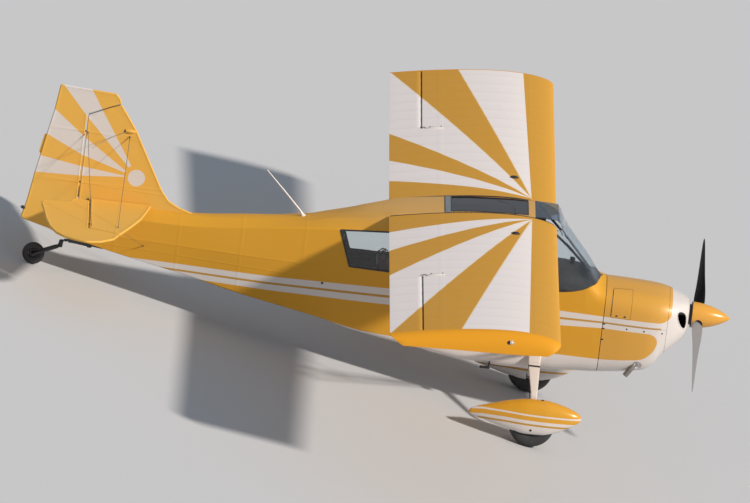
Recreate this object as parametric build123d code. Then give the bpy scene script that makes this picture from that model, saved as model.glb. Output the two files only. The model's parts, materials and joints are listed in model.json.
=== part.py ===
from build123d import *
import os
from math import atan, atan2, cos, degrees, pi, radians, sin, sqrt, tan

# A two-seat, high-wing, tail-wheel aerobatic aircraft, in millimetres.
# It is drawn level: +X to the nose, +Y to its left, +Z up, with the origin at the centre of
# the spinner's base on the propeller's axis. PARKED then stands it on its three wheels.

# ---- overall sizes
SPAN = 9754.0
CHORD = 1626.0
WING_THICKNESS = 0.12  # of the chord
WING_CAMBER = 0.01
WING_CAMBER_AT = 0.4
INCIDENCE = 2.33  # degrees
DIHEDRAL = 1.0
WING_NOSE_X = -1412.0  # leading edge at the root
WING_NOSE_Z = 778.0
TIP_CAP = 120.0  # rounded part outboard of the last rib
TRAILING_EDGE = 5.0

# ---- clearances
SEAT = 0.3  # between pieces that rest on each other
PIN_FIT = 0.05  # radial, pin in a bore
HINGE_GAP = 8.0  # between a control surface and what it hangs on
DOOR_GAP = 6.0
LUG_ROOM = 6.0  # beside a hinge lug in its notch
TYRE_ROOM = 12.0  # between a tyre and the wheel pant round it
ROOT_GAP = 6.0  # between the roof strip and a wing's root rib
CUT_REACH = 700.0  # how far a cutting prism runs past the fuselage's sides

# ---- fuselage
FIREWALL_X = -857.0
CABIN_END_X = -3550.0
STERNPOST_X = -6030.0
WALL = 14.0
FLOOR = 60.0
STRINGER_Z = 140.0
CABIN_HALF_WIDTH = 370.0
CABIN_END_HALF_WIDTH = CABIN_HALF_WIDTH - 65
ROOF_HALF_WIDTH = CABIN_HALF_WIDTH - 66
WING_ROOT_Y = ROOF_HALF_WIDTH + ROOT_GAP
FIREWALL_SECTION = (CABIN_HALF_WIDTH + 15, -655, 293, 110, 250)
CABIN_END_LOW = -412.0
CABIN_END_HIGH = 612.0
# x, half width, bottom, top, lower corner radius, upper corner radius
CABIN_STATIONS = [
    (FIREWALL_X, *FIREWALL_SECTION),
    (-912, CABIN_HALF_WIDTH + 14, -662, 310, 110, 250),
    (-1210, CABIN_HALF_WIDTH + 6, -688, 644, 100, 200),
    (WING_NOSE_X, CABIN_HALF_WIDTH, -680, 868, 95, 120),
    (-1700, CABIN_HALF_WIDTH, -660, 872, 90, 60),
    (-2190, CABIN_HALF_WIDTH, -620, 850, 80, 60),
    (-3030, CABIN_HALF_WIDTH - 25, -498, 745, 60, 60),
    (CABIN_END_X, CABIN_END_HALF_WIDTH, CABIN_END_LOW, CABIN_END_HIGH, 50, 80),
]
# x, keel z, lower edge (y, z), stringer y, longeron (y, z), shoulder (y, z), ridge z,
# with each y a share of the cabin's half width where the two meet
TAIL_STATIONS = [
    (CABIN_END_X, CABIN_END_LOW, (0.98, -385), 1.0, (0.99, 522), (0.49, 600), CABIN_END_HIGH),
    (-3900, -352, (0.86, -332), 0.93, (0.87, 484), (0.39, 520), 530),
    (-4400, -268, (0.70, -252), 0.79, (0.70, 408), (0.28, 470), 480),
    (-4950, -158, (0.49, -145), 0.56, (0.52, 346), (0.18, 424), 432),
    (-5300, -95, (0.38, -85), 0.44, (0.39, 331), (0.14, 420), 430),
    (-5770, -5, (0.26, 3), 0.29, (0.25, 333), (0.10, 420), 430),
    (STERNPOST_X, 55, (0.20, 60), 0.20, (0.16, 335), (0.08, 420), 430),
]

# ---- cowling
COWL_WALL = 6.0
BOWL_END_X = -235.0
COWL_SPLIT_Z = -83.0
COWL_STATIONS = [
    (-20, 165, -95, 115, 90, 90),
    (-45, 225, -215, 158, 130, 120),
    (-92, 290, -296, 184, 150, 150),
    (-192, 352, -389, 226, 160, 180),
    (-300, 394, -515, 258, 150, 215),
    (-423, 410, -600, 272, 130, 235),
    (-588, 406, -636, 282, 115, 245),
    (FIREWALL_X, *FIREWALL_SECTION),
]
SHAFT_HOLE_R = 60.0
INLET_SIZE = (150.0, 130.0)  # across, high
INLET_CENTRE = (205.0, -25.0)  # y, z
EXHAUST_X = -560.0
EXHAUST_Y = -120.0
EXHAUST_R = 28.0
OIL_DOOR = (-790.0, -600.0, -15.0, 237.0)  # x range, z range

# ---- cabin openings and glass
GLASS = 4.0
FRONT_POST_X = -1500.0
POST_WIDTH = 60.0
DOOR_LENGTH = 900.0
DOOR_BOTTOM_Z = -400.0
DOOR_TOP_Z = 640.0
DOOR_WALL = 24.0
DOOR_HINGE_OUT = 12.0  # the hinge axis stands this far outside the skin
DOOR_KNUCKLE_R = 6.0
DOOR_KNUCKLE = 30.0
DOOR_HINGES_Z = (-250.0, 90.0)
SILL_Z = 165.0
WINDOW_EDGE = 55.0
REAR_POST = 130.0  # between the door and the rear side window
REAR_WINDOW_TAIL = [(-3020, 574), (-3496, 528), (-3366, SILL_Z)]
REAR_WINDOW_TOP_Z = 600.0
WINDSHIELD_BASE_X = -912.0
WINDSHIELD_TOP_X = -1630.0
WINDSHIELD_SIDE = [(-949, 305), (-1092, 221), (-1303, 172)]
WINDSHIELD_BACK_Z = 790.0  # where the windshield's side meets the wing
SKYLIGHT_X = (-1700.0, -2440.0)
SKYLIGHT_EDGE = 40.0

# ---- control surfaces
AILERON_LENGTH = 2042.0
AILERON_TIP_GAP = 130.0  # from the aileron's outer end to the wing's tip
AILERON_END_GAP = 6.0
AILERON_HINGE = 0.82  # of the chord
AILERON_HINGE_INSET = 195.0
TAIL_THICKNESS = 34.0
TAIL_NOSE_R = 17.0
STABILIZER_Z = 455.0
ELEVATOR_HINGE_X = -5940.0
ELEVATOR_ROOT_Y = 75.0
ELEVATOR_HORN_Y = 1090.0
RUDDER_HINGE_X = -6060.0
RUDDER_FOOT_Z = 58.0
RUDDER_HEEL = (-6573.0, 194.0)  # x, z of its lower trailing corner
FIN_THICKNESS = 34.0
TORQUE_TUBE_R = 12.0
LUG = 12.0  # thickness of a hinge lug
LUG_R = 9.0
PIN_R = 4.0
PIN_LENGTH = 60.0

# ---- landing gear
AXLE_X = -1445.0
AXLE_Z = -1005.0
HALF_TRACK = 975.0
TYRE_R = 222.0
TYRE_WIDTH = 150.0
RIM_R = 82.0
AXLE_R = 16.0
LEG_KNEE_Y = HALF_TRACK - 109.0
LEG_KNEE_Z = -742.0
LEG_TOP = (CABIN_HALF_WIDTH - 70.0, -455.0)  # y, z
LEG_THICKNESS = 22.0
PANT_NOSE_X = AXLE_X + 473.0
PANT_TAIL_X = AXLE_X - 619.0
PANT_NOSE_Z = AXLE_Z + 101.0
PANT_TAIL_Z = AXLE_Z + 51.0
PANT_WALL = 8.0
PANT_HALF_WIDTH = TYRE_WIDTH / 2 + TYRE_ROOM + PANT_WALL + 27.0
PANT_TOP_Z = AXLE_Z + TYRE_R + TYRE_ROOM + PANT_WALL
PANT_BOTTOM_Z = AXLE_Z - 107.0
TAIL_AXLE_X = -6404.0
TAIL_AXLE_Z = -145.0
TAIL_TYRE_R = 108.0
TAIL_TYRE_WIDTH = 56.0
TAIL_RIM_R = 48.0
TAIL_PIVOT_X = -6150.0
TAIL_PIVOT_Z = -6.0

# ---- propeller
PROP_R = 940.0
SPINNER_R = 127.0
SPINNER_LENGTH = 380.0
SPINNER_WALL = 3.0
BLADE_X = 65.0
BLADE_ANGLE = 53.0  # from upright, towards the left
PROP_PITCH = 1400.0
# radius, chord, thickness
BLADE_STATIONS = [
    (40, 78, 62),
    (0.16 * PROP_R, 128, 34),
    (0.32 * PROP_R, 152, 20),
    (0.55 * PROP_R, 142, 14),
    (0.79 * PROP_R, 112, 10),
    (0.94 * PROP_R, 66, 7),
    (PROP_R, 12, 4),
]
HUB_R = 58.0
HUB_X = (22.0, 108.0)
SHAFT_R = 20.0
SHAFT_END_X = 50.0
HUB_SOCKET_X = 60.0
SPINNER_HOLE_R = 30.0
BLADE_SLOT = 62.0  # half the size of the spinner's opening round a blade

# ---- lift struts
FRONT_STRUT_CHORD = 104.0
REAR_STRUT_CHORD = 84.0
STRUT_FINENESS = 3.0  # chord over thickness
FRONT_STRUT_FOOT = (-1360.0, CABIN_HALF_WIDTH - 30, -430.0)
REAR_STRUT_FOOT = (-1470.0, CABIN_HALF_WIDTH - 30, -430.0)
STRUT_TOP_Y = 2450.0
JURY_SHARE = 0.56  # of the way up the lift struts
JURY_R = 11.0
FRONT_SPAR = 0.18  # of the chord
REAR_SPAR = 0.66

# ---- tie-down eyes
EYE_HOLE_R = 12.0
EYE_R = 22.0
EYE_THICKNESS = 8.0

# ---- cabin inside
BRACE_R = 12.0
SEAT_WIDTH = 440.0
FRONT_SEAT_X = -1960.0
REAR_SEAT_X = -2790.0


# the aircraft stands nose up until both kinds of tyre meet the ground
WHEELBASE = AXLE_X - TAIL_AXLE_X
AXLE_DROP = TAIL_AXLE_Z - AXLE_Z
PARK_PITCH = degrees(
    atan2(AXLE_DROP, WHEELBASE)
    + atan((TYRE_R - TAIL_TYRE_R) / sqrt(WHEELBASE**2 + AXLE_DROP**2 - (TYRE_R - TAIL_TYRE_R) ** 2))
)
_nose_x = SPINNER_LENGTH * cos(radians(PARK_PITCH))
_tail_x = RUDDER_HEEL[0] * cos(radians(PARK_PITCH)) - RUDDER_HEEL[1] * sin(radians(PARK_PITCH))
_axle_height = AXLE_X * sin(radians(PARK_PITCH)) + AXLE_Z * cos(radians(PARK_PITCH))
PARKED = Pos(-(_nose_x + _tail_x) / 2, 0, TYRE_R - _axle_height) * Rot(0, -PARK_PITCH, 0)


def wing_point(fraction, y, height=0.0):
    """A point at a fraction of the chord, y out along the span, height above the chord line."""
    a = radians(INCIDENCE)
    rise = (abs(y) - WING_ROOT_Y) * tan(radians(DIHEDRAL))
    x = WING_NOSE_X - fraction * CHORD * cos(a) - height * sin(a)
    z = WING_NOSE_Z + rise - fraction * CHORD * sin(a) + height * cos(a)
    return Vector(x, y, z)


def camber(fraction):
    if fraction < WING_CAMBER_AT:
        share = (2 * WING_CAMBER_AT * fraction - fraction**2) / WING_CAMBER_AT**2
    else:
        share = 1 - 2 * WING_CAMBER_AT + 2 * WING_CAMBER_AT * fraction - fraction**2
        share /= (1 - WING_CAMBER_AT) ** 2
    return WING_CAMBER * share


def half_thickness(fraction):
    curve = 0.2969 * sqrt(fraction) - 0.126 * fraction - 0.3516 * fraction**2
    curve += 0.2843 * fraction**3 - 0.1036 * fraction**4
    return 5 * WING_THICKNESS * curve


def wing_rib(y, nose_cut=0.0, tail_cut=0.0, depth=1.0, swell=0.0):
    """The wing's section at y, as a face. The cuts shorten it, depth thins it, swell grows it."""
    upper, lower = [], []
    steps = 14
    for i in range(steps + 1):
        f = (1 - cos(pi * i / steps)) / 2
        place = (nose_cut + f * (CHORD - nose_cut - tail_cut)) / CHORD
        mid = camber(f) * CHORD * depth
        half = half_thickness(f) * CHORD * depth + swell + TRAILING_EDGE / 2 * f
        if i == 0:
            half = 0
            place -= swell / CHORD
        upper.append(wing_point(place, y, mid + half))
        lower.append(wing_point(place, y, mid - half))
    top = Edge.make_spline(upper)
    bottom = Edge.make_spline(lower)
    close = Edge.make_line(upper[-1], lower[-1])
    return Face(Wire([top, close, bottom]))


def box_between(low, high):
    size = [h - l for l, h in zip(low, high)]
    middle = [(h + l) / 2 for l, h in zip(low, high)]
    return Pos(*middle) * Box(*size)


def rod(start, end, radius):
    start, end = Vector(*start), Vector(*end)
    along = end - start
    return extrude(Plane(start, z_dir=along) * Circle(radius), amount=along.length)


def rounded_ring(x, half_width, low, high, low_r, high_r):
    """A rounded section across the fuselage: flat sides, with its own corner radius each end."""
    k = sqrt(0.5)
    w = half_width

    def corner(cy, cz, r, a, b):
        side = 1 if cy > 0 else -1
        up = 1 if a else -1
        middle = (x, side * (cy * side + r * k), cz + up * r * k)
        first = (x, side * (cy * side + r), cz)
        last = (x, cy, cz + up * r)
        return Edge.make_three_point_arc(*((first, middle, last) if b else (last, middle, first)))

    bottom = Edge.make_line((x, -w + low_r, low), (x, w - low_r, low))
    left_low = corner(w - low_r, low + low_r, low_r, False, False)
    left = Edge.make_line((x, w, low + low_r), (x, w, high - high_r))
    left_high = corner(w - high_r, high - high_r, high_r, True, True)
    top = Edge.make_line((x, w - high_r, high), (x, -w + high_r, high))
    right_high = corner(-w + high_r, high - high_r, high_r, True, False)
    right = Edge.make_line((x, -w, high - high_r), (x, -w, low + low_r))
    right_low = corner(-w + low_r, low + low_r, low_r, False, True)
    return Face(Wire([bottom, left_low, left, left_high, top, right_high, right, right_low]))


def shell_loft(stations, inset=0.0, floor=None, start=0.0, end=0.0):
    """A loft along the stations, drawn in by inset; floor is its own inset at the bottom."""
    floor = inset if floor is None else floor
    faces = []
    for i, (x, w, low, high, low_r, high_r) in enumerate(stations):
        x += start if i == 0 else (end if i == len(stations) - 1 else 0)
        low_r = max(low_r - inset, 5)
        high_r = max(high_r - inset, 5)
        faces.append(rounded_ring(x, w - inset, low + floor, high - inset, low_r, high_r))
    return loft(faces, ruled=True)


def side_cut(points, y_low, y_high):
    """A prism across the aircraft from an outline seen from the side."""
    outline = Wire.make_polygon([Vector(x, y_low, z) for x, z in points], close=True)
    return extrude(Face(outline), amount=y_high - y_low, dir=(0, 1, 0))


def both_sides(shape):
    return shape, mirror(shape, about=Plane.XZ)


# ---- fuselage


def wing_room(side):
    """What a wing root takes from the cabin's shoulder, and the space above it."""
    near, far = side * (ROOF_HALF_WIDTH + SEAT), side * CUT_REACH
    room = loft([wing_rib(near, swell=SEAT), wing_rib(far, swell=SEAT)], ruled=True)
    tail = wing_point(1, near)
    low = (tail.X - SEAT, min(near, far), tail.Z)
    above = box_between(low, (WING_NOSE_X + 2, max(near, far), 1100))
    return room + above


def windshield_region():
    (ax, az), (bx, bz), (cx, cz) = WINDSHIELD_SIDE
    y = -CUT_REACH
    front, above = WINDSHIELD_BASE_X + 30, 1000
    corners = [
        (cx, cz),
        (FRONT_POST_X, SILL_Z),
        (FRONT_POST_X, WINDSHIELD_BACK_Z),
        (WINDSHIELD_TOP_X, WINDSHIELD_BACK_Z),
        (WINDSHIELD_TOP_X, above),
        (front, above),
        (front, az),
        (ax, az),
    ]
    edges = [Edge.make_three_point_arc((ax, y, az), (bx, y, bz), (cx, y, cz))]
    for (x0, z0), (x1, z1) in zip(corners, corners[1:]):
        edges.append(Edge.make_line((x0, y, z0), (x1, y, z1)))
    return extrude(Face(Wire(edges)), amount=2 * CUT_REACH, dir=(0, 1, 0))


def window_outline(x_front, x_back, z_low, z_high, edge):
    return [
        (x_front - edge, z_low + edge),
        (x_back + edge, z_low + edge),
        (x_back + edge, z_high - edge),
        (x_front - edge, z_high - edge),
    ]


DOOR_FRONT_X = FRONT_POST_X - POST_WIDTH
DOOR_BACK_X = DOOR_FRONT_X - DOOR_LENGTH
DOOR_OUTLINE = [
    (DOOR_FRONT_X, DOOR_BOTTOM_Z),
    (DOOR_FRONT_X, DOOR_TOP_Z),
    (DOOR_BACK_X, DOOR_TOP_Z),
    (DOOR_BACK_X, DOOR_BOTTOM_Z),
]
WINDOW_OUTLINE = window_outline(
    DOOR_FRONT_X, DOOR_BACK_X, SILL_Z - WINDOW_EDGE, DOOR_TOP_Z, WINDOW_EDGE
)
REAR_WINDOW = [
    (DOOR_BACK_X - REAR_POST, REAR_WINDOW_TOP_Z),
    *REAR_WINDOW_TAIL,
    (DOOR_BACK_X - REAR_POST, SILL_Z),
]


def shrink(points, gap):
    """The outline drawn in by gap on every side of its middle."""
    cx = (min(p[0] for p in points) + max(p[0] for p in points)) / 2
    cz = (min(p[1] for p in points) + max(p[1] for p in points)) / 2
    return [(x + (gap if x < cx else -gap), z + (gap if z < cz else -gap)) for x, z in points]


def door_hinges():
    """The door's knuckles and the post's pins with their straps, outside the right-hand skin."""
    y = -(CABIN_HALF_WIDTH + DOOR_HINGE_OUT)
    moving, fixed, bores = Part(), Part(), Part()
    half = DOOR_KNUCKLE / 2
    for z in DOOR_HINGES_Z:
        low, high = (DOOR_FRONT_X, y, z - half), (DOOR_FRONT_X, y, z + half)
        moving = moving + rod(low, high, DOOR_KNUCKLE_R)
        moving = moving + box_between(
            (DOOR_FRONT_X - 70, y - 2, z - half), (DOOR_FRONT_X, y + 2, z + half)
        )
        moving = moving + box_between(
            (DOOR_FRONT_X - 70, y, z - half), (DOOR_FRONT_X - 2 * DOOR_GAP, y + 16, z + half)
        )
        bores = bores + rod((DOOR_FRONT_X, y, z - 2 * half), (DOOR_FRONT_X, y, z + 2 * half), PIN_R + PIN_FIT)
        fixed = fixed + rod((DOOR_FRONT_X, y, z - 2 * half), (DOOR_FRONT_X, y, z + 2 * half), PIN_R)
        for a, b in ((z + half + SEAT, z + 2 * half), (z - 2 * half, z - half - SEAT)):
            fixed = fixed + rod((DOOR_FRONT_X, y, a), (DOOR_FRONT_X, y, b), DOOR_KNUCKLE_R)
            fixed = fixed + box_between((DOOR_FRONT_X, y - 2, a), (DOOR_FRONT_X + 45, y + 2, b))
            fixed = fixed + box_between((DOOR_FRONT_X + 10, y, a), (DOOR_FRONT_X + 45, y + 16, b))
    return moving, fixed, bores


def fuselage():
    outer = shell_loft(CABIN_STATIONS)
    inner = shell_loft(CABIN_STATIONS, WALL, FLOOR, -WALL, WALL)
    glass_inner = shell_loft(CABIN_STATIONS, GLASS, GLASS, 50, -50)
    shell = outer - inner
    glass = outer - glass_inner
    wings = wing_room(1) + wing_room(-1)
    region = windshield_region()
    skylight_y = ROOF_HALF_WIDTH - SKYLIGHT_EDGE
    skylight_cut = box_between((SKYLIGHT_X[1], -skylight_y, 700), (SKYLIGHT_X[0], skylight_y, 1000))
    above_wing = box_between((-3100, -CUT_REACH, WINDSHIELD_BACK_Z), (-1300, CUT_REACH, 1100))
    roof_strip = box_between((-3100, -ROOF_HALF_WIDTH, 600), (0, ROOF_HALF_WIDTH, 1100))
    right_side, left_side = (-CUT_REACH, -CABIN_HALF_WIDTH / 2), (CABIN_HALF_WIDTH / 2, CUT_REACH)
    shell = shell - wings - region - skylight_cut
    shell = shell - (above_wing - roof_strip)
    shell = shell - side_cut(DOOR_OUTLINE, *right_side)
    shell = shell - side_cut(WINDOW_OUTLINE, *left_side)
    shell = shell - side_cut(REAR_WINDOW, -CUT_REACH, CUT_REACH)

    windshield = (glass & region) - wings - (above_wing - roof_strip)
    skylight = glass & skylight_cut
    left_front = glass & side_cut(WINDOW_OUTLINE, *left_side)
    rear = side_cut(REAR_WINDOW, *right_side) + side_cut(REAR_WINDOW, *left_side)
    rear_glass = glass & rear

    door_inner = shell_loft(CABIN_STATIONS, DOOR_WALL, DOOR_WALL, 50, -50)
    door = (outer - door_inner) & side_cut(shrink(DOOR_OUTLINE, DOOR_GAP), *right_side)
    door = door - side_cut(WINDOW_OUTLINE, *right_side)
    knuckles, pins, bores = door_hinges()
    door = door + knuckles - bores
    shell = shell + pins
    door_glass = glass & side_cut(WINDOW_OUTLINE, *right_side)
    return {
        "cabin_shell": shell,
        "windshield": windshield,
        "skylight": skylight,
        "side_windows": Compound(children=solids(left_front) + solids(rear_glass)),
        "cabin_door": door,
        "door_window": door_glass,
    }


def solids(shape):
    return list(shape.solids())


def rear_fuselage():
    faces = []
    for x, keel, lower, stringer, longeron, shoulder, ridge in TAIL_STATIONS:
        half = [lower, (stringer, STRINGER_Z), longeron, shoulder]
        half = [(share * CABIN_END_HALF_WIDTH, z) for share, z in half]
        points = [(0, keel)] + half + [(0, ridge)] + [(-y, z) for y, z in reversed(half)]
        faces.append(Face(Wire.make_polygon([Vector(x, y, z) for y, z in points], close=True)))
    return loft(faces, ruled=True)


# ---- engine and cowling


def cowling():
    outer = shell_loft(COWL_STATIONS)
    inner = shell_loft(COWL_STATIONS, COWL_WALL, COWL_WALL, -COWL_WALL, -1)
    skin = outer - inner
    skin = skin - rod((-200, 0, 0), (50, 0, 0), SHAFT_HOLE_R)
    for side in (1, -1):
        y, z = INLET_CENTRE
        w, h = INLET_SIZE
        skin = skin - box_between((-150, side * y - w / 2, z - h / 2), (50, side * y + w / 2, z + h / 2))
    exhaust_hole = rod(
        (EXHAUST_X, EXHAUST_Y, -520), (EXHAUST_X, EXHAUST_Y, -700), EXHAUST_R + 15
    )
    skin = skin - exhaust_hole
    x0, x1, z0, z1 = OIL_DOOR
    hatch_cut = box_between((x0, -500, z0), (x1, 0, z1))
    hatch = skin & box_between((x0 + 1, -500, z0 + 1), (x1 - 1, 0, z1 - 1))
    skin = skin - hatch_cut
    bowl = skin & box_between((BOWL_END_X, -500, -800), (50, 500, 400))
    behind = box_between((FIREWALL_X, -500, -800), (BOWL_END_X, 500, 400))
    upper = skin & behind & box_between((-900, -500, COWL_SPLIT_Z), (0, 500, 400))
    lower = skin & behind & box_between((-900, -500, -800), (0, 500, COWL_SPLIT_Z))
    return {"nose_bowl": bowl, "upper_cowl": upper, "lower_cowl": lower, "oil_door": hatch}


def engine(body):
    block = box_between((-700, -190, -190), (-330, 190, 90))
    cylinders = box_between((-640, -330, -110), (-350, 330, 40))
    mount = Part() + [
        rod((-700, sy * 150, z), (FIREWALL_X + SEAT, sy * 190, z), 12)
        for sy in (1, -1)
        for z in (-150, 60)
    ]
    shaft = rod((-330, 0, 0), (-20, 0, 0), 36) + rod((-20, 0, 0), (SHAFT_END_X, 0, 0), SHAFT_R)
    return block + cylinders + (mount - body) + shaft


def exhaust():
    pipe = rod((EXHAUST_X, EXHAUST_Y, -190 - SEAT), (EXHAUST_X, EXHAUST_Y, -640), EXHAUST_R)
    tail = rod((EXHAUST_X, EXHAUST_Y, -640), (EXHAUST_X - 60, EXHAUST_Y, -715), EXHAUST_R)
    bore = rod((EXHAUST_X + 8, EXHAUST_Y, -630), (EXHAUST_X - 76, EXHAUST_Y, -735), EXHAUST_R - 3)
    return pipe + tail - bore


# ---- propeller


def blade():
    faces = []
    for radius, chord, thickness in BLADE_STATIONS:
        angle = degrees(atan(PROP_PITCH / (2 * pi * max(radius, 150))))
        # the blade stands along +Z; its leading edge points to -Y and forward
        x_dir = Vector(sin(radians(angle)), -cos(radians(angle)), 0)
        plane = Plane((BLADE_X, 0, radius), x_dir=x_dir, z_dir=(0, 0, 1))
        faces.append((plane * Ellipse(chord / 2, thickness / 2)).face())
    return loft(faces)


def propeller():
    blades = blade()
    blades = blades + Rot(180, 0, 0) * blades
    hub = rod((HUB_X[0], 0, 0), (HUB_X[1], 0, 0), HUB_R)
    blades = blades + hub - rod((0, 0, 0), (HUB_SOCKET_X, 0, 0), SHAFT_R + PIN_FIT)
    nose = Edge.make_spline(
        [
            Vector(0, SPINNER_R, 0),
            Vector(0.35 * SPINNER_LENGTH, 0.88 * SPINNER_R, 0),
            Vector(0.75 * SPINNER_LENGTH, 0.5 * SPINNER_R, 0),
            Vector(SPINNER_LENGTH, 0, 0),
        ],
        tangents=[Vector(1, 0, 0), Vector(0.35, -1, 0)],
    )
    base = Edge.make_line((0, 0, 0), (0, SPINNER_R, 0))
    axis = Edge.make_line((SPINNER_LENGTH, 0, 0), (0, 0, 0))
    spinner = revolve(Face(Wire([base, nose, axis])), axis=Axis.X)
    hollow = scale(spinner, by=1 - 2 * SPINNER_WALL / SPINNER_R)
    hollow = Pos(SPINNER_WALL, 0, 0) * hollow
    spinner = spinner - hollow
    for side in (1, -1):
        low, high = sorted((0, side * 2 * SPINNER_R))
        slot_low = (BLADE_X - BLADE_SLOT, -BLADE_SLOT - 6, low)
        spinner = spinner - box_between(slot_low, (BLADE_X + BLADE_SLOT, BLADE_SLOT + 6, high))
    spinner = spinner - rod((-5, 0, 0), (10, 0, 0), SPINNER_HOLE_R)
    seat = rod((SPINNER_WALL + SEAT, 0, 0), (HUB_X[0], 0, 0), HUB_R)
    blades = blades + (seat - rod((0, 0, 0), (HUB_X[0] + 8, 0, 0), SPINNER_HOLE_R))
    turn = Rot(-BLADE_ANGLE, 0, 0)
    return {"spinner": turn * spinner, "propeller_blades": turn * blades}


# ---- hinges of the control surfaces


def hinge_lug(point, along, back, reach):
    """A lug from a fixed spar to a hinge axis, with its pin; back points to the spar."""
    point, along, back = Vector(*point), Vector(*along), Vector(*back)
    pin = rod(point - along * (PIN_LENGTH / 2), point + along * (PIN_LENGTH / 2), PIN_R)
    eye = rod(point - along * (LUG / 2), point + along * (LUG / 2), LUG_R)
    arm_plane = Plane(point, x_dir=along, z_dir=back)
    arm = extrude(arm_plane * Rectangle(LUG, 1.4 * LUG_R), amount=reach)
    return pin + eye + arm


def hinge_notch(point, along, back, depth):
    """The room that a lug and its pin need in the moving surface."""
    point, along, back = Vector(*point), Vector(*along), Vector(*back)
    gap = LUG / 2 + LUG_ROOM
    eye = rod(point - along * gap, point + along * gap, LUG_R + LUG_ROOM)
    arm_plane = Plane(point, x_dir=along, z_dir=back)
    room = extrude(arm_plane * Rectangle(2 * gap, 200), amount=depth)
    bore = rod(
        point - along * (PIN_LENGTH / 2 + 1), point + along * (PIN_LENGTH / 2 + 1), PIN_R + PIN_FIT
    )
    return eye + room + bore


# ---- wings


AILERON_Y = (SPAN / 2 - AILERON_TIP_GAP - AILERON_LENGTH, SPAN / 2 - AILERON_TIP_GAP)
AILERON_NOSE_R = 0.92 * half_thickness(AILERON_HINGE) * CHORD


def aileron_axis(y):
    return wing_point(AILERON_HINGE, y, camber(AILERON_HINGE) * CHORD)


def wing_frame_box(side, y0, y1, front, back, half_height):
    """A block in the wing's own lean, between two spanwise stations and two chord fractions."""
    faces = []
    for y in (y0, y1):
        corners = [(front, -half_height), (back, -half_height), (back, half_height), (front, half_height)]
        faces.append(
            Face(Wire.make_polygon([wing_point(f, side * y, h) for f, h in corners], close=True))
        )
    return loft(faces, ruled=True)


def wing_and_aileron():
    rib_y = SPAN / 2 - TIP_CAP
    full = loft(
        [
            wing_rib(WING_ROOT_Y),
            wing_rib(rib_y),
            wing_rib(rib_y + 0.6 * TIP_CAP, 22, 22, 0.8),
            wing_rib(rib_y + TIP_CAP, 110, 130, 0.3),
        ],
        ruled=True,
    )
    y0, y1 = AILERON_Y
    bay_y0, bay_y1 = y0 - AILERON_END_GAP, y1 + AILERON_END_GAP
    a, b = aileron_axis(bay_y0), aileron_axis(bay_y1)
    c, d = aileron_axis(y0), aileron_axis(y1)
    bay = wing_frame_box(1, bay_y0, bay_y1, AILERON_HINGE, 1.1, 150)
    bay = bay + rod(a, b, AILERON_NOSE_R + HINGE_GAP)
    wing = full - bay
    flap = full & wing_frame_box(1, y0, y1, AILERON_HINGE, 1.1, 150)
    flap = flap + rod(c, d, AILERON_NOSE_R)
    along = (b - a).normalized()
    forward = Vector(cos(radians(INCIDENCE)), 0, sin(radians(INCIDENCE)))
    for y in (y0 + AILERON_HINGE_INSET, (y0 + y1) / 2, y1 - AILERON_HINGE_INSET):
        point = aileron_axis(y)
        wing = wing + hinge_lug(point, along, forward, AILERON_NOSE_R + HINGE_GAP + 12)
        flap = flap - hinge_notch(point, along, forward, 80)
    return wing, flap


def strut(foot, top, chord):
    """A streamlined strut whose section's long side runs fore and aft."""
    along = top - foot
    unit = along.normalized()
    fore = Vector(1, 0, 0) - unit * unit.X
    section = Ellipse(chord / 2, chord / 2 / STRUT_FINENESS)
    return extrude(Plane(foot, x_dir=fore, z_dir=along) * section, amount=along.length)


def lift_struts(body, wing):
    tops = [wing_point(f, STRUT_TOP_Y, 0) for f in (FRONT_SPAR, REAR_SPAR)]
    feet = [Vector(*FRONT_STRUT_FOOT), Vector(*REAR_STRUT_FOOT)]
    struts = []
    for foot, top, chord in zip(feet, tops, (FRONT_STRUT_CHORD, REAR_STRUT_CHORD)):
        struts.append(strut(foot, top, chord) - body - wing)
    mids = [foot + (top - foot) * JURY_SHARE for foot, top in zip(feet, tops)]
    jury = rod(mids[0], mids[1], JURY_R)
    for mid, share in zip(mids, (FRONT_SPAR, REAR_SPAR)):
        jury = jury + rod(mid, wing_point(share, mid.Y, 0), JURY_R)
    for piece in struts:
        jury = jury - piece
    jury = jury - wing
    return struts, jury


EYE_Y = STRUT_TOP_Y + 140


def tie_down_centre():
    """The middle of the tie-down eye, hanging clear below the wing's skin."""
    foot = wing_point(FRONT_SPAR, EYE_Y)
    return foot - Vector(0, 0, half_thickness(FRONT_SPAR) * CHORD + 2 * EYE_R + 10)


def tie_down(wing):
    centre = tie_down_centre()
    stem = rod(wing_point(FRONT_SPAR, EYE_Y), centre + Vector(0, 0, EYE_R - 4), 7)
    eye = rod(centre - Vector(0, EYE_THICKNESS / 2, 0), centre + Vector(0, EYE_THICKNESS / 2, 0), EYE_R)
    bore = rod(centre - Vector(0, EYE_THICKNESS, 0), centre + Vector(0, EYE_THICKNESS, 0), EYE_HOLE_R)
    return eye + (stem - wing) - bore


# ---- tail

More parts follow.
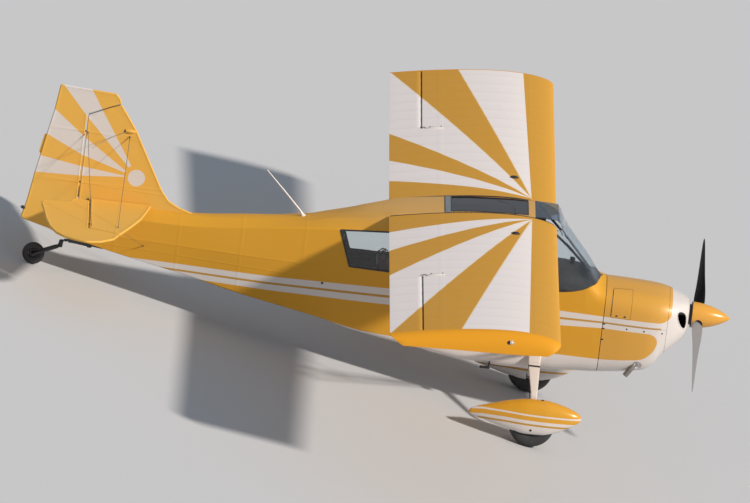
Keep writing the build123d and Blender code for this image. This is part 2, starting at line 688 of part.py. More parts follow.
FIN_OUTLINE = [
    (RUDDER_HINGE_X + TAIL_NOSE_R + HINGE_GAP, 60),
    (RUDDER_HINGE_X + TAIL_NOSE_R + HINGE_GAP, 1296),
    (-5831, 1391),
    (-5722, 1433),
    (-5707, 1412),
    (-5550, 1194),
    (-5240, 630),
    (-5143, 520),
    (-4962, 446),
    (-4700, 380),
    (-4700, 300),
    (-5900, 100),
]
RUDDER_OUTLINE = [
    (RUDDER_HINGE_X, RUDDER_FOOT_Z),
    (-6135, RUDDER_FOOT_Z),
    (-6282, 118),
    RUDDER_HEEL,
    (-6531, 371),
    (-6486, 666),
    (-6415, 1061),
    (-6366, 1318),
    (-6335, 1570),
    (-5785, 1538),
    (-5744, 1493),
    (-5722, 1445),
    (-5831, 1402),
    (RUDDER_HINGE_X, 1307),
]
STABILIZER_OUTLINE = [
    (ELEVATOR_HINGE_X + TAIL_NOSE_R + HINGE_GAP, FIN_THICKNESS / 2 + SEAT),
    (-5330, FIN_THICKNESS / 2 + SEAT),
    (-5330, 60),
    (-5420, 560),
    (-5615, 1190),
    (ELEVATOR_HINGE_X + TAIL_NOSE_R + HINGE_GAP, 1078),
]
ELEVATOR_OUTLINE = [
    (ELEVATOR_HINGE_X, ELEVATOR_ROOT_Y),
    (-6080, ELEVATOR_ROOT_Y),
    (-6130, 235),
    (-6395, 250),
    (-6370, 560),
    (-6340, 910),
    (-6300, 1160),
    (-6240, 1350),
    (-6160, 1460),
    (-6050, 1520),
    (-5935, 1575),
    (-5800, 1520),
    (-5670, 1370),
    (-5623, 1202),
    (ELEVATOR_HINGE_X, ELEVATOR_HORN_Y),
]
RUDDER_HINGES_Z = (180.0, 620.0, 1130.0)
ELEVATOR_HINGES_Y = (200.0, 900.0)


def upright_plate(points, thickness):
    return side_cut(points, -thickness / 2, thickness / 2)


def flat_plate(points, z, thickness):
    low = z - thickness / 2
    outline = Wire.make_polygon([Vector(x, y, low) for x, y in points], close=True)
    return extrude(Face(outline), amount=thickness, dir=(0, 0, 1))


def tail_feathers(body):
    fin = upright_plate(FIN_OUTLINE, FIN_THICKNESS) - body
    rudder = upright_plate(RUDDER_OUTLINE, FIN_THICKNESS - 4)
    rudder = rudder + rod(
        (RUDDER_HINGE_X, 0, RUDDER_FOOT_Z), (RUDDER_HINGE_X, 0, 1307), TAIL_NOSE_R - 2
    )
    for z in RUDDER_HINGES_Z:
        point = (RUDDER_HINGE_X, 0, z)
        reach = TAIL_NOSE_R + HINGE_GAP + 2
        lug = hinge_lug(point, (0, 0, 1), (1, 0, 0), reach)
        fin = fin + (lug - body)
        rudder = rudder - hinge_notch(point, (0, 0, 1), (1, 0, 0), 60)

    stabilizer = flat_plate(STABILIZER_OUTLINE, STABILIZER_Z, TAIL_THICKNESS)
    elevator = flat_plate(ELEVATOR_OUTLINE, STABILIZER_Z, TAIL_THICKNESS - 4)
    elevator = elevator + rod(
        (ELEVATOR_HINGE_X, ELEVATOR_ROOT_Y, STABILIZER_Z),
        (ELEVATOR_HINGE_X, ELEVATOR_HORN_Y, STABILIZER_Z),
        TAIL_NOSE_R - 2,
    )
    for y in ELEVATOR_HINGES_Y:
        point = (ELEVATOR_HINGE_X, y, STABILIZER_Z)
        stabilizer = stabilizer + hinge_lug(point, (0, 1, 0), (1, 0, 0), TAIL_NOSE_R + HINGE_GAP + 2)
        elevator = elevator - hinge_notch(point, (0, 1, 0), (1, 0, 0), 60)
    tube_end = ELEVATOR_ROOT_Y - SEAT
    tube = rod(
        (ELEVATOR_HINGE_X, -tube_end, STABILIZER_Z),
        (ELEVATOR_HINGE_X, tube_end, STABILIZER_Z),
        TORQUE_TUBE_R,
    )
    tube_room = rod(
        (ELEVATOR_HINGE_X, -100, STABILIZER_Z),
        (ELEVATOR_HINGE_X, 100, STABILIZER_Z),
        TORQUE_TUBE_R + LUG_ROOM,
    )
    return fin - tube_room, rudder, stabilizer, elevator, tube


def brace_wires(body, fin, stabilizer):
    wires = []
    for x_fin, z_fin, x_stab, y_stab, x_low, z_low in (
        (-6020, 1130, -5895, 1020, -5890, 70),
        (-5610, 1130, -5640, 990, -5354, 80),
    ):
        wires.append(rod((x_fin, 0, z_fin), (x_stab, y_stab, STABILIZER_Z), 4))
        wires.append(rod((x_stab, y_stab, STABILIZER_Z), (x_low, 0, z_low), 4))
    cut = []
    for wire in wires:
        piece = wire - body - fin - stabilizer
        cut += solids(piece)
    other = [mirror(s, about=Plane.XZ) for s in cut]
    return Compound(children=cut + other)


# ---- landing gear


def leg(grow=0.0):
    """The spring leg, its upright foot inside the fairing, and the axle."""
    y0, z0 = LEG_TOP
    top = (y0, z0, 62.0, AXLE_X - 28)
    knee = (LEG_KNEE_Y, LEG_KNEE_Z, 32.0, AXLE_X - 7)
    foot = (LEG_KNEE_Y + 4, AXLE_Z - 40, 32.0, AXLE_X)
    t = LEG_THICKNESS / 2 + grow
    faces = []
    slope = atan2(knee[1] - top[1], knee[0] - top[0])
    for i, (y, z, half, x) in enumerate((top, knee, foot)):
        lean = (slope, (slope - pi / 2) / 2, -pi / 2)[i]
        ny, nz = -sin(lean) * t, cos(lean) * t
        half += grow
        corners = [(x - half, 1), (x + half, 1), (x + half, -1), (x - half, -1)]
        faces.append(
            Face(Wire.make_polygon([Vector(cx, y + s * ny, z + s * nz) for cx, s in corners], close=True))
        )
    blade = loft(faces, ruled=True)
    axle = rod((AXLE_X, LEG_KNEE_Y, AXLE_Z), (AXLE_X, HALF_TRACK + 50, AXLE_Z), AXLE_R + grow)
    return blade + axle


def wheel_pant():
    faces = []
    length = PANT_NOSE_X - PANT_TAIL_X
    middle_z = (PANT_NOSE_Z + PANT_TAIL_Z) / 2
    k = sqrt(0.5)
    y = HALF_TRACK
    # along the pant: width, height above and depth below its middle line, as shares
    for share, width, up_share, down_share in (
        (0.0, 0.08, 0.05, 0.04),
        (0.03, 0.36, 0.28, 0.23),
        (0.10, 0.62, 0.50, 0.45),
        (0.22, 0.85, 0.76, 0.76),
        (0.36, 0.98, 0.95, 0.98),
        (0.50, 1.0, 1.0, 0.94),
        (0.66, 0.86, 0.86, 0.72),
        (0.82, 0.56, 0.58, 0.43),
        (0.95, 0.22, 0.24, 0.17),
        (1.0, 0.08, 0.05, 0.04),
    ):
        x = PANT_NOSE_X - share * length
        z = PANT_NOSE_Z + share * (PANT_TAIL_Z - PANT_NOSE_Z)
        w = PANT_HALF_WIDTH * width
        up = (PANT_TOP_Z - middle_z) * up_share
        down = (middle_z - PANT_BOTTOM_Z) * down_share
        ring = [
            Edge.make_three_point_arc(
                (x, y + w, z), (x, y + w * k, z + up * k), (x, y, z + up)
            ),
            Edge.make_three_point_arc(
                (x, y, z + up), (x, y - w * k, z + up * k), (x, y - w, z)
            ),
            Edge.make_three_point_arc(
                (x, y - w, z), (x, y - w * k, z - down * k), (x, y, z - down)
            ),
            Edge.make_three_point_arc(
                (x, y, z - down), (x, y + w * k, z - down * k), (x, y + w, z)
            ),
        ]
        faces.append(Face(Wire(ring)))
    body = loft(faces, ruled=True)
    well = Pos(AXLE_X, HALF_TRACK, AXLE_Z) * tyre_solid(
        TYRE_R + TYRE_ROOM, TYRE_WIDTH + 2 * TYRE_ROOM, RIM_R, -RIM_R
    )
    slot = box_between(
        (AXLE_X - 38, LEG_KNEE_Y - 40, AXLE_Z - TYRE_R), (AXLE_X + 38, HALF_TRACK, AXLE_Z)
    )
    return body - well - leg(SEAT) - slot


def tyre_solid(outer_r, width, rim_r, fit=SEAT):
    """A ring of tyre section round Y, whose inside is the rim's radius plus fit."""
    half, bead, inside = width / 2, 0.36 * width, rim_r + fit
    shoulder = 0.62 * outer_r + 0.38 * rim_r
    crown = [
        Vector(shoulder, -half, 0),
        Vector(0.90 * outer_r, -0.40 * width, 0),
        Vector(outer_r, 0, 0),
        Vector(0.90 * outer_r, 0.40 * width, 0),
        Vector(shoulder, half, 0),
    ]
    profile = [
        Edge.make_line((inside, -bead, 0), (shoulder, -half, 0)),
        Edge.make_spline(crown),
        Edge.make_line((shoulder, half, 0), (inside, bead, 0)),
        Edge.make_line((inside, bead, 0), (inside, -bead, 0)),
    ]
    return revolve(Face(Wire(profile)), axis=Axis.Y)


def wheel(outer_r, width, rim_r, bore_r, x, y, z):
    """A tyre and its hub, turning about an axle along Y."""
    tyre = tyre_solid(outer_r, width, rim_r)
    hub = Rot(90, 0, 0) * Cylinder(rim_r, 0.7 * width)
    dish = Rot(90, 0, 0) * Cylinder(0.78 * rim_r, 0.2 * width)
    for side in (1, -1):
        hub = hub - Pos(0, side * 0.35 * width, 0) * dish
    boss = Rot(90, 0, 0) * Cylinder(2.1 * bore_r, 0.7 * width)
    hub = hub + boss - Rot(90, 0, 0) * Cylinder(bore_r, 2 * width)
    place = Pos(x, y, z)
    return place * tyre, place * hub


def tail_gear(body):
    spring_points = [(-5740, -9), (-5860, 4), (-6020, 24), (-6110, 26), (TAIL_PIVOT_X, TAIL_PIVOT_Z)]
    t = 6.0
    upper = [(x, z + t) for x, z in spring_points]
    lower = [(x, z - t) for x, z in reversed(spring_points)]
    spring = side_cut(upper + lower, -20, 20) - body
    up = Vector(0, 0, 1).rotate(Axis.Y, PARK_PITCH)
    pivot = Vector(TAIL_PIVOT_X, 0, TAIL_PIVOT_Z)
    spring = spring + rod(pivot - up * 22, pivot + up * 22, 22)
    pin = rod(pivot - up * 44, pivot - up * 20, 10)
    spring = spring + pin
    # fork: a crown under the head, and two arms trailing to the axle
    crown = rod(pivot - up * 46, pivot - up * (22 + SEAT), 24)
    crown = crown - rod(pivot - up * 46, pivot - up * 20, 10 + PIN_FIT)
    half = TAIL_TYRE_WIDTH / 2 + 8
    start = pivot - up * 36
    axle = Vector(TAIL_AXLE_X, 0, TAIL_AXLE_Z)
    yoke_end = start + (axle - start) * 0.18
    fork = crown
    for side in (1, -1):
        bend = Vector(yoke_end.X, side * (half + 4), yoke_end.Z)
        fork = fork + rod(start + Vector(0, side * 17, 0), bend, 7)
        fork = fork + rod(bend, Vector(axle.X, side * (half + 4), axle.Z), 7)
        fork = fork + rod((axle.X, side * (half - 3), axle.Z), (axle.X, side * (half + 12), axle.Z), 12)
    fork = fork + rod(Vector(axle.X, -half, axle.Z), Vector(axle.X, half, axle.Z), 6)
    fork = fork - rod(pivot - up * 44.5, pivot - up * 20, 10 + PIN_FIT)
    return spring, fork


# ---- cabin inside


def seats(shell):
    pieces = {}
    for name, x in (("front", FRONT_SEAT_X), ("rear", REAR_SEAT_X)):
        floor_z = floor_height(x)
        half = SEAT_WIDTH / 2
        pan_z = floor_z + 210
        frame = Part()
        for sx in (x + 200, x - 200):
            for sy in (1, -1):
                leg_y = sy * (half - 30)
                frame = frame + rod((sx, leg_y, floor_height(sx) - 20), (sx, leg_y, pan_z), 12)
        frame = frame - shell
        frame = frame + box_between((x - 230, -half, pan_z), (x + 230, half, pan_z + 12))
        for sy in (1, -1):
            frame = frame + rod((x - 215, sy * (half - 30), pan_z), (x - 300, sy * (half - 30), pan_z + 520), 12)
        cushion = box_between((x - 190, -half, pan_z + 12 + SEAT), (x + 230, half, pan_z + 100))
        lean = atan2(85, 520)
        back = Box(80, SEAT_WIDTH, 480)
        back = Pos(x - 230, 0, pan_z + 350) * Rot(0, degrees(-lean), 0) * back
        back = back - frame
        pieces[f"{name}_seat_frame"] = frame
        pieces[f"{name}_seat_cushion"] = fillet(cushion.edges().filter_by(Axis.Z), 40)
        pieces[f"{name}_seat_back"] = back
    return pieces


def floor_height(x):
    """The cabin floor's height, between the stations it is lofted through."""
    rows = CABIN_STATIONS
    for (xa, _, low_a, *_rest), (xb, _, low_b, *_more) in zip(rows, rows[1:]):
        if xb <= x <= xa:
            return low_a + (low_b - low_a) * (x - xa) / (xb - xa) + FLOOR
    raise ValueError(x)


def instruments():
    x = -1190.0
    room = shell_loft(CABIN_STATIONS, WALL + SEAT, FLOOR, -WALL, WALL)
    panel = box_between((x - 12, -500, -60), (x + 12, 500, 160)) & room
    hood = box_between((x + 12, -300, 140), (WINDSHIELD_BASE_X - 90, 300, 160))
    dials = Part()
    for i in range(3):
        for j in range(2):
            y = (i - 1) * 150
            dials = dials + rod((x - 24, y, 10 + j * 95), (x - 12, y, 10 + j * 95), 38)
    return panel + hood + dials


def controls(shell):
    """The two sticks and the front pedals, standing on the cabin floor."""
    sticks = []
    for x in (FRONT_SEAT_X + 330, REAR_SEAT_X + 330):
        z = floor_height(x) + SEAT
        stick = rod((x, 0, z), (x, 0, z + 40), 30) + rod((x, 0, z + 30), (x - 40, 0, z + 430), 11)
        stick = stick + rod((x - 40, 0, z + 400), (x - 52, 0, z + 520), 17)
        sticks.append(stick)
    pedals = []
    for sy in (1, -1):
        x = -1120.0
        z = floor_height(x) + SEAT
        pedals.append(rod((x, sy * 130, z), (x + 20, sy * 130, z + 150), 9) + box_between(
            (x + 5, sy * 130 - 40, z + 120), (x + 28, sy * 130 + 40, z + 200)
        ))
    return Compound(children=[(piece - shell).solid() for piece in sticks + pedals])


def brace_tubes(shell_cut):
    """The V brace behind the windshield, from the panel's line to the roof."""
    pieces = []
    for sy in (1, -1):
        top = (-1600, sy * (ROOF_HALF_WIDTH - 34), 900)
        pieces.append(rod((-960, sy * 30, 240), top, BRACE_R))
    tubes = []
    for piece in pieces:
        piece = piece & shell_loft(CABIN_STATIONS, GLASS + SEAT, GLASS + SEAT, -WALL, WALL)
        tubes += solids(piece - shell_cut)
    return Compound(children=tubes)


def antenna(body):
    whip = rod((-3855, 0, 450), (-4250, 0, 951), 5) - body
    base = rod((-3850, 0, 480), (-3862, 0, 530), 14) - body
    return (whip + base).solid()


def steps(body):
    side = -CABIN_HALF_WIDTH
    rung = rod((-1900, side + 70, -560), (-1910, side + 25, -660), 9) - body
    plate = box_between((-1990, side - 15, -672), (-1890, side + 50, -662))
    return rung + plate


def build():
    parts = {}
    body = shell_loft(CABIN_STATIONS)
    parts.update(fuselage())
    parts["rear_fuselage"] = rear_fuselage()
    parts.update(cowling())
    parts["engine_block"] = engine(body)
    parts["exhaust_stack"] = exhaust()
    parts.update(propeller())
    wing, aileron = wing_and_aileron()
    parts["left_wing"], parts["right_wing"] = both_sides(wing)
    parts["left_aileron"], parts["right_aileron"] = both_sides(aileron)
    (front_strut, rear_strut), jury = lift_struts(body, wing)
    eye = tie_down(wing)
    fin, rudder, stabilizer, elevator, tube = tail_feathers(parts["rear_fuselage"])
    stabilizer = stabilizer - parts["rear_fuselage"]
    parts["fin"], parts["rudder"] = fin, rudder
    parts["elevator_torque_tube"] = tube
    parts["tail_brace_wires"] = brace_wires(parts["rear_fuselage"], fin, stabilizer)
    gear_leg = leg() - body
    pant = wheel_pant()
    tyre, hub = wheel(TYRE_R, TYRE_WIDTH, RIM_R, AXLE_R + PIN_FIT, AXLE_X, HALF_TRACK, AXLE_Z)
    for name, piece in (
        ("front_strut", front_strut),
        ("rear_strut", rear_strut),
        ("jury_strut", jury),
        ("tie_down", eye),
        ("stabilizer", stabilizer),
        ("elevator", elevator),
        ("gear_leg", gear_leg),
        ("wheel_pant", pant),
        ("tyre", tyre),
        ("hub", hub),
    ):
        parts[f"left_{name}"], parts[f"right_{name}"] = both_sides(piece)
    parts["tail_spring"], parts["tailwheel_fork"] = tail_gear(parts["rear_fuselage"])
    tail_tyre, tail_hub = wheel(
        TAIL_TYRE_R, TAIL_TYRE_WIDTH, TAIL_RIM_R, 6 + PIN_FIT, TAIL_AXLE_X, 0, TAIL_AXLE_Z
    )
    parts["tail_tyre"], parts["tail_hub"] = tail_tyre, tail_hub
    parts.update(seats(parts["cabin_shell"]))
    parts["instrument_panel"] = instruments()
    parts["cabin_controls"] = controls(parts["cabin_shell"])
    parts["brace_tubes"] = brace_tubes(parts["instrument_panel"])
    parts["antenna"] = antenna(parts["rear_fuselage"])
    parts["boarding_step"] = steps(body)
    return parts


def main():
    os.makedirs("parts", exist_ok=True)
    for name, shape in build().items():
        export_step(PARKED * shape, f"parts/{name}.step")


if __name__ == "__main__":
    main()
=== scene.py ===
import json
import math
from functools import partialmethod

import bmesh
import bpy
from mathutils import Matrix, Vector
from mathutils.geometry import delaunay_2d_cdt

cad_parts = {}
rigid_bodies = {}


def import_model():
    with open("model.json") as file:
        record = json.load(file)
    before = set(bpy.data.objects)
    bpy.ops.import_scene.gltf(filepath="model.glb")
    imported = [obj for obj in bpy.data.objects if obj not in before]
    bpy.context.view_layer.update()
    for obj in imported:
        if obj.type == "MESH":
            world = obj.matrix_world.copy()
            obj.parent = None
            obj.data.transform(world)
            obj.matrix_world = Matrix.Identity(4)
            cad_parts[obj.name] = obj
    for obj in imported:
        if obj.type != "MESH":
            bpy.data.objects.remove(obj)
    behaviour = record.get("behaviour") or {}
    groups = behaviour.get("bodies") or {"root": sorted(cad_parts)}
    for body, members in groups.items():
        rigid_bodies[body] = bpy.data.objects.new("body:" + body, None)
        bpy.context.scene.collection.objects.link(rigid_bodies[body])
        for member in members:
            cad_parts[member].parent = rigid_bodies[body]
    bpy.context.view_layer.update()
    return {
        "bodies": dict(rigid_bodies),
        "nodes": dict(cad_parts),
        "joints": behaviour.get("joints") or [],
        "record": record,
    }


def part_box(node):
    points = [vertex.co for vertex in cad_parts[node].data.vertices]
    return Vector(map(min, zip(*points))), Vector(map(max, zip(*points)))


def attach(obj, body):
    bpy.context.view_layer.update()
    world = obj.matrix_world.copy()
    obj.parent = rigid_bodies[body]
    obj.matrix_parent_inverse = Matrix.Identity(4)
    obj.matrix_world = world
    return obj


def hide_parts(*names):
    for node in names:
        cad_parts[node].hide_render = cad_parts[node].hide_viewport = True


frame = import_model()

# A two-seat, high-wing, tail-wheel aerobatic aircraft, parked on its three wheels.
# Its pieces are drawn level, in metres: +X to the nose, +Y to its left, +Z up, from the centre of
# the spinner's base. LEVEL turns that frame into the parked one, and comes from the CAD's joints.

JOINTS = {joint["name"]: joint for joint in frame["joints"]}
NOSE_AXIS = Vector(JOINTS["propeller_spin"]["axis"]).normalized()
LEFT_AXIS = Vector((0, 1, 0))
LEVEL = Matrix((NOSE_AXIS, LEFT_AXIS, NOSE_AXIS.cross(LEFT_AXIS))).transposed().to_4x4()
LEVEL.translation = Vector(JOINTS["propeller_spin"]["pos_m"])


def level_joint(name):
    """A joint's own point, in the level frame."""
    return LEVEL.inverted() @ Vector(JOINTS[name]["pos_m"])


# ---- wing
SPAN = 9.754
CHORD = 1.626
INCIDENCE = math.radians(2.33)
DIHEDRAL = math.radians(1.0)
WING_NOSE = (-1.412, 0.778)  # x, z of the root's leading edge
ROOT_Y = 0.310
TIP_CAP = 0.120
TIP_RIB_Y = SPAN / 2 - TIP_CAP
AILERON_Y = (2.705, 4.747)
RIB_PITCH = 0.305
SAG = 0.0022  # how far the fabric dips between two ribs
TRAILING_HALF = 0.0025  # half the trailing edge's thickness
ROOT_SIDE_Y = 0.3045  # the roof's glass ends here, beside the wing's root

# ---- fuselage
FIREWALL_X = -0.857
SEAM = 0.004
STERNPOST_X = -6.030
STRINGER_Z = 0.140
SKIN = 0.012

# ---- tail
RUDDER_AXIS = level_joint("rudder_hinge")
ELEVATOR_AXIS = level_joint("elevator_hinge")

# ---- gear
AXLE = level_joint("left_wheel_spin")
TAIL_AXLE = level_joint("tailwheel_spin")


def tyre_size(node):
    """A tyre's radius and width, from its CAD solid."""
    low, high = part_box(node)
    return (high.z - low.z) / 2, high.y - low.y


TYRE_R, TYRE_WIDTH = tyre_size("left_tyre")
TAIL_TYRE_R, TAIL_TYRE_WIDTH = tyre_size("tail_tyre")

AHEAD, BACK, ASIDE, UP = (1, 0, 0), (-1, 0, 0), (0, 1, 0), (0, 0, 1)
SIDES = ((1, "left"), (-1, "right"))


def new_object(name, data, paints=(), place=None):
    """An object in the scene, with its materials."""
    made = bpy.data.objects.new(name, data)
    bpy.context.scene.collection.objects.link(made)
    if place is not None:
        made.matrix_world = place
    for paint in as_list(paints):
        data.materials.append(paint)
    return made


# ---- camera

DISTANCE = 220.0  # metres from the camera to the nose
VIEW_WIDTH = 7.269132  # metres across the picture, at the aircraft
NOSE_ACROSS, NOSE_ABOVE = 3.066605, -0.609638  # the nose, from the middle of the picture


def make_camera():
    """A long lens from the right and above, rolled as the photograph is."""
    turn, down, roll = math.radians(1.877), math.radians(15.319), math.radians(7.095)
    ahead = Vector(
        (math.sin(turn) * math.cos(down), math.cos(turn) * math.cos(down), -math.sin(down))
    )
    flat = Vector((math.cos(turn), -math.sin(turn), 0))
    upright = flat.cross(ahead)
    right = math.cos(roll) * flat + math.sin(roll) * upright
    up = -math.sin(roll) * flat + math.cos(roll) * upright
    turn_matrix = Matrix((right, up, -ahead)).transposed().to_4x4()
    turn_matrix.translation = -NOSE_ACROSS * right - NOSE_ABOVE * up - DISTANCE * ahead
    lens = bpy.data.cameras.new("camera")
    lens.sensor_width = 36
    lens.lens = DISTANCE * lens.sensor_width / VIEW_WIDTH
    lens.clip_start, lens.clip_end = 100, 400
    camera = new_object("camera", lens, place=LEVEL @ turn_matrix)
    bpy.context.scene.camera = camera


# ---- shapes


def lerp(a, b, share):
    return a + (b - a) * share


def steps(start, end, count):
    """count + 1 numbers from start to end."""
    return [lerp(start, end, i / count) for i in range(count + 1)]


def circle(count):
    """The cosine and sine of each of count even steps round a circle."""
    return [(math.cos(math.tau * k / count), math.sin(math.tau * k / count)) for k in range(count)]


def smooth_table(rows):
    """Monotone cubic curves through a table's rows, as a function of the first column."""
    rows = sorted(rows)
    xs = [row[0] for row in rows]
    curves = []
    for k in range(1, len(rows[0])):
        ys = [row[k] for row in rows]
        slopes = [(ys[i + 1] - ys[i]) / (xs[i + 1] - xs[i]) for i in range(len(xs) - 1)]
        tangents = [slopes[0]]
        for left, right in zip(slopes, slopes[1:]):
            tangents.append(0 if left * right <= 0 else 2 * left * right / (left + right))
        tangents.append(slopes[-1])
        curves.append((ys, tangents))

    def at(x):
        x = min(max(x, xs[0]), xs[-1])
        i = next((i for i in range(len(xs) - 1) if x <= xs[i + 1]), len(xs) - 2)
        h = xs[i + 1] - xs[i]
        t = (x - xs[i]) / h
        values = []
        for ys, tangents in curves:
            values.append(
                (2 * t**3 - 3 * t**2 + 1) * ys[i]
                + (t**3 - 2 * t**2 + t) * h * tangents[i]
                + (3 * t**2 - 2 * t**3) * ys[i + 1]
                + (t**3 - t**2) * h * tangents[i + 1]
            )
        return values

    return at


def rounded(points, radii, count=6):
    """A closed outline with each corner rounded by its own radius, into count + 1 points."""
    out = []
    for i, radius in enumerate(radii):
        here = Vector(points[i])
        if radius <= 0:
            out.append(tuple(here))
            continue
        before = Vector(points[i - 1]) - here
        after = Vector(points[(i + 1) % len(points)]) - here
        if min(before.length, after.length) < 1e-6:
            out += [tuple(here)] * (count + 1)
            continue
        half = before.angle(after) / 2
        reach = min(radius / math.tan(half), 0.48 * before.length, 0.48 * after.length)
        a, b = here + before.normalized() * reach, here + after.normalized() * reach
        for t in steps(0, 1, count):
            out.append(tuple((1 - t) ** 2 * a + 2 * t * (1 - t) * here + t * t * b))
    return out


def tube_rings(path, radius, sides=12, squash=1.0, upright=None):
    """Rings round a path; squash flattens them across the direction upright, when that is given."""
    path = [Vector(point) for point in path]
    radii = radius if isinstance(radius, (list, tuple)) else [radius] * len(path)
    rings, normal = [], Vector(upright) if upright else None
    for i, point in enumerate(path):
        ahead = path[min(i + 1, len(path) - 1)] - path[max(i - 1, 0)]
        ahead.normalize()
        if normal is None:
            normal = ahead.orthogonal().normalized()
        normal = (normal - ahead * normal.dot(ahead)).normalized()
        other = ahead.cross(normal)
        rings.append([point + radii[i] * (c * normal + squash * s * other) for c, s in circle(sides)])
    return rings


def filled(edge, inner, pitch, wanted):
    """Points and triangles that fill a closed outline in the plane: the inner points are kept, and
    a grid of further points goes where it is wanted."""
    low = [min(p[k] for p in edge) for k in (0, 1)]
    high = [max(p[k] for p in edge) for k in (0, 1)]
    grid = []
    for i in range(int((high[0] - low[0]) / pitch)):
        for j in range(int((high[1] - low[1]) / pitch)):
            x, y = low[0] + (i + 0.5) * pitch, low[1] + (j + 0.5) * pitch
            odd = False
            for a, b in zip(edge, edge[1:] + edge[:1]):
                if (a.y > y) != (b.y > y) and x < a.x + (y - a.y) / (b.y - a.y) * (b.x - a.x):
                    odd = not odd
            if odd and wanted(Vector((x, y))):
                grid.append(Vector((x, y)))
    loop = [(i, (i + 1) % len(edge)) for i in range(len(edge))]
    spots, _, faces, _, _, _ = delaunay_2d_cdt(edge + inner + grid, loop, [], 1, 1e-6)
    return spots, faces


SHARP_ANGLE = 32  # degrees


def shade(mesh, sharp=SHARP_ANGLE):
    """Smooth shading, apart from edges whose faces meet at more than the angle."""
    mesh.shade_smooth()
    mesh.set_sharp_from_angle(angle=math.radians(sharp))
    return mesh


def as_list(value):
    return value if isinstance(value, (list, tuple)) else [value]


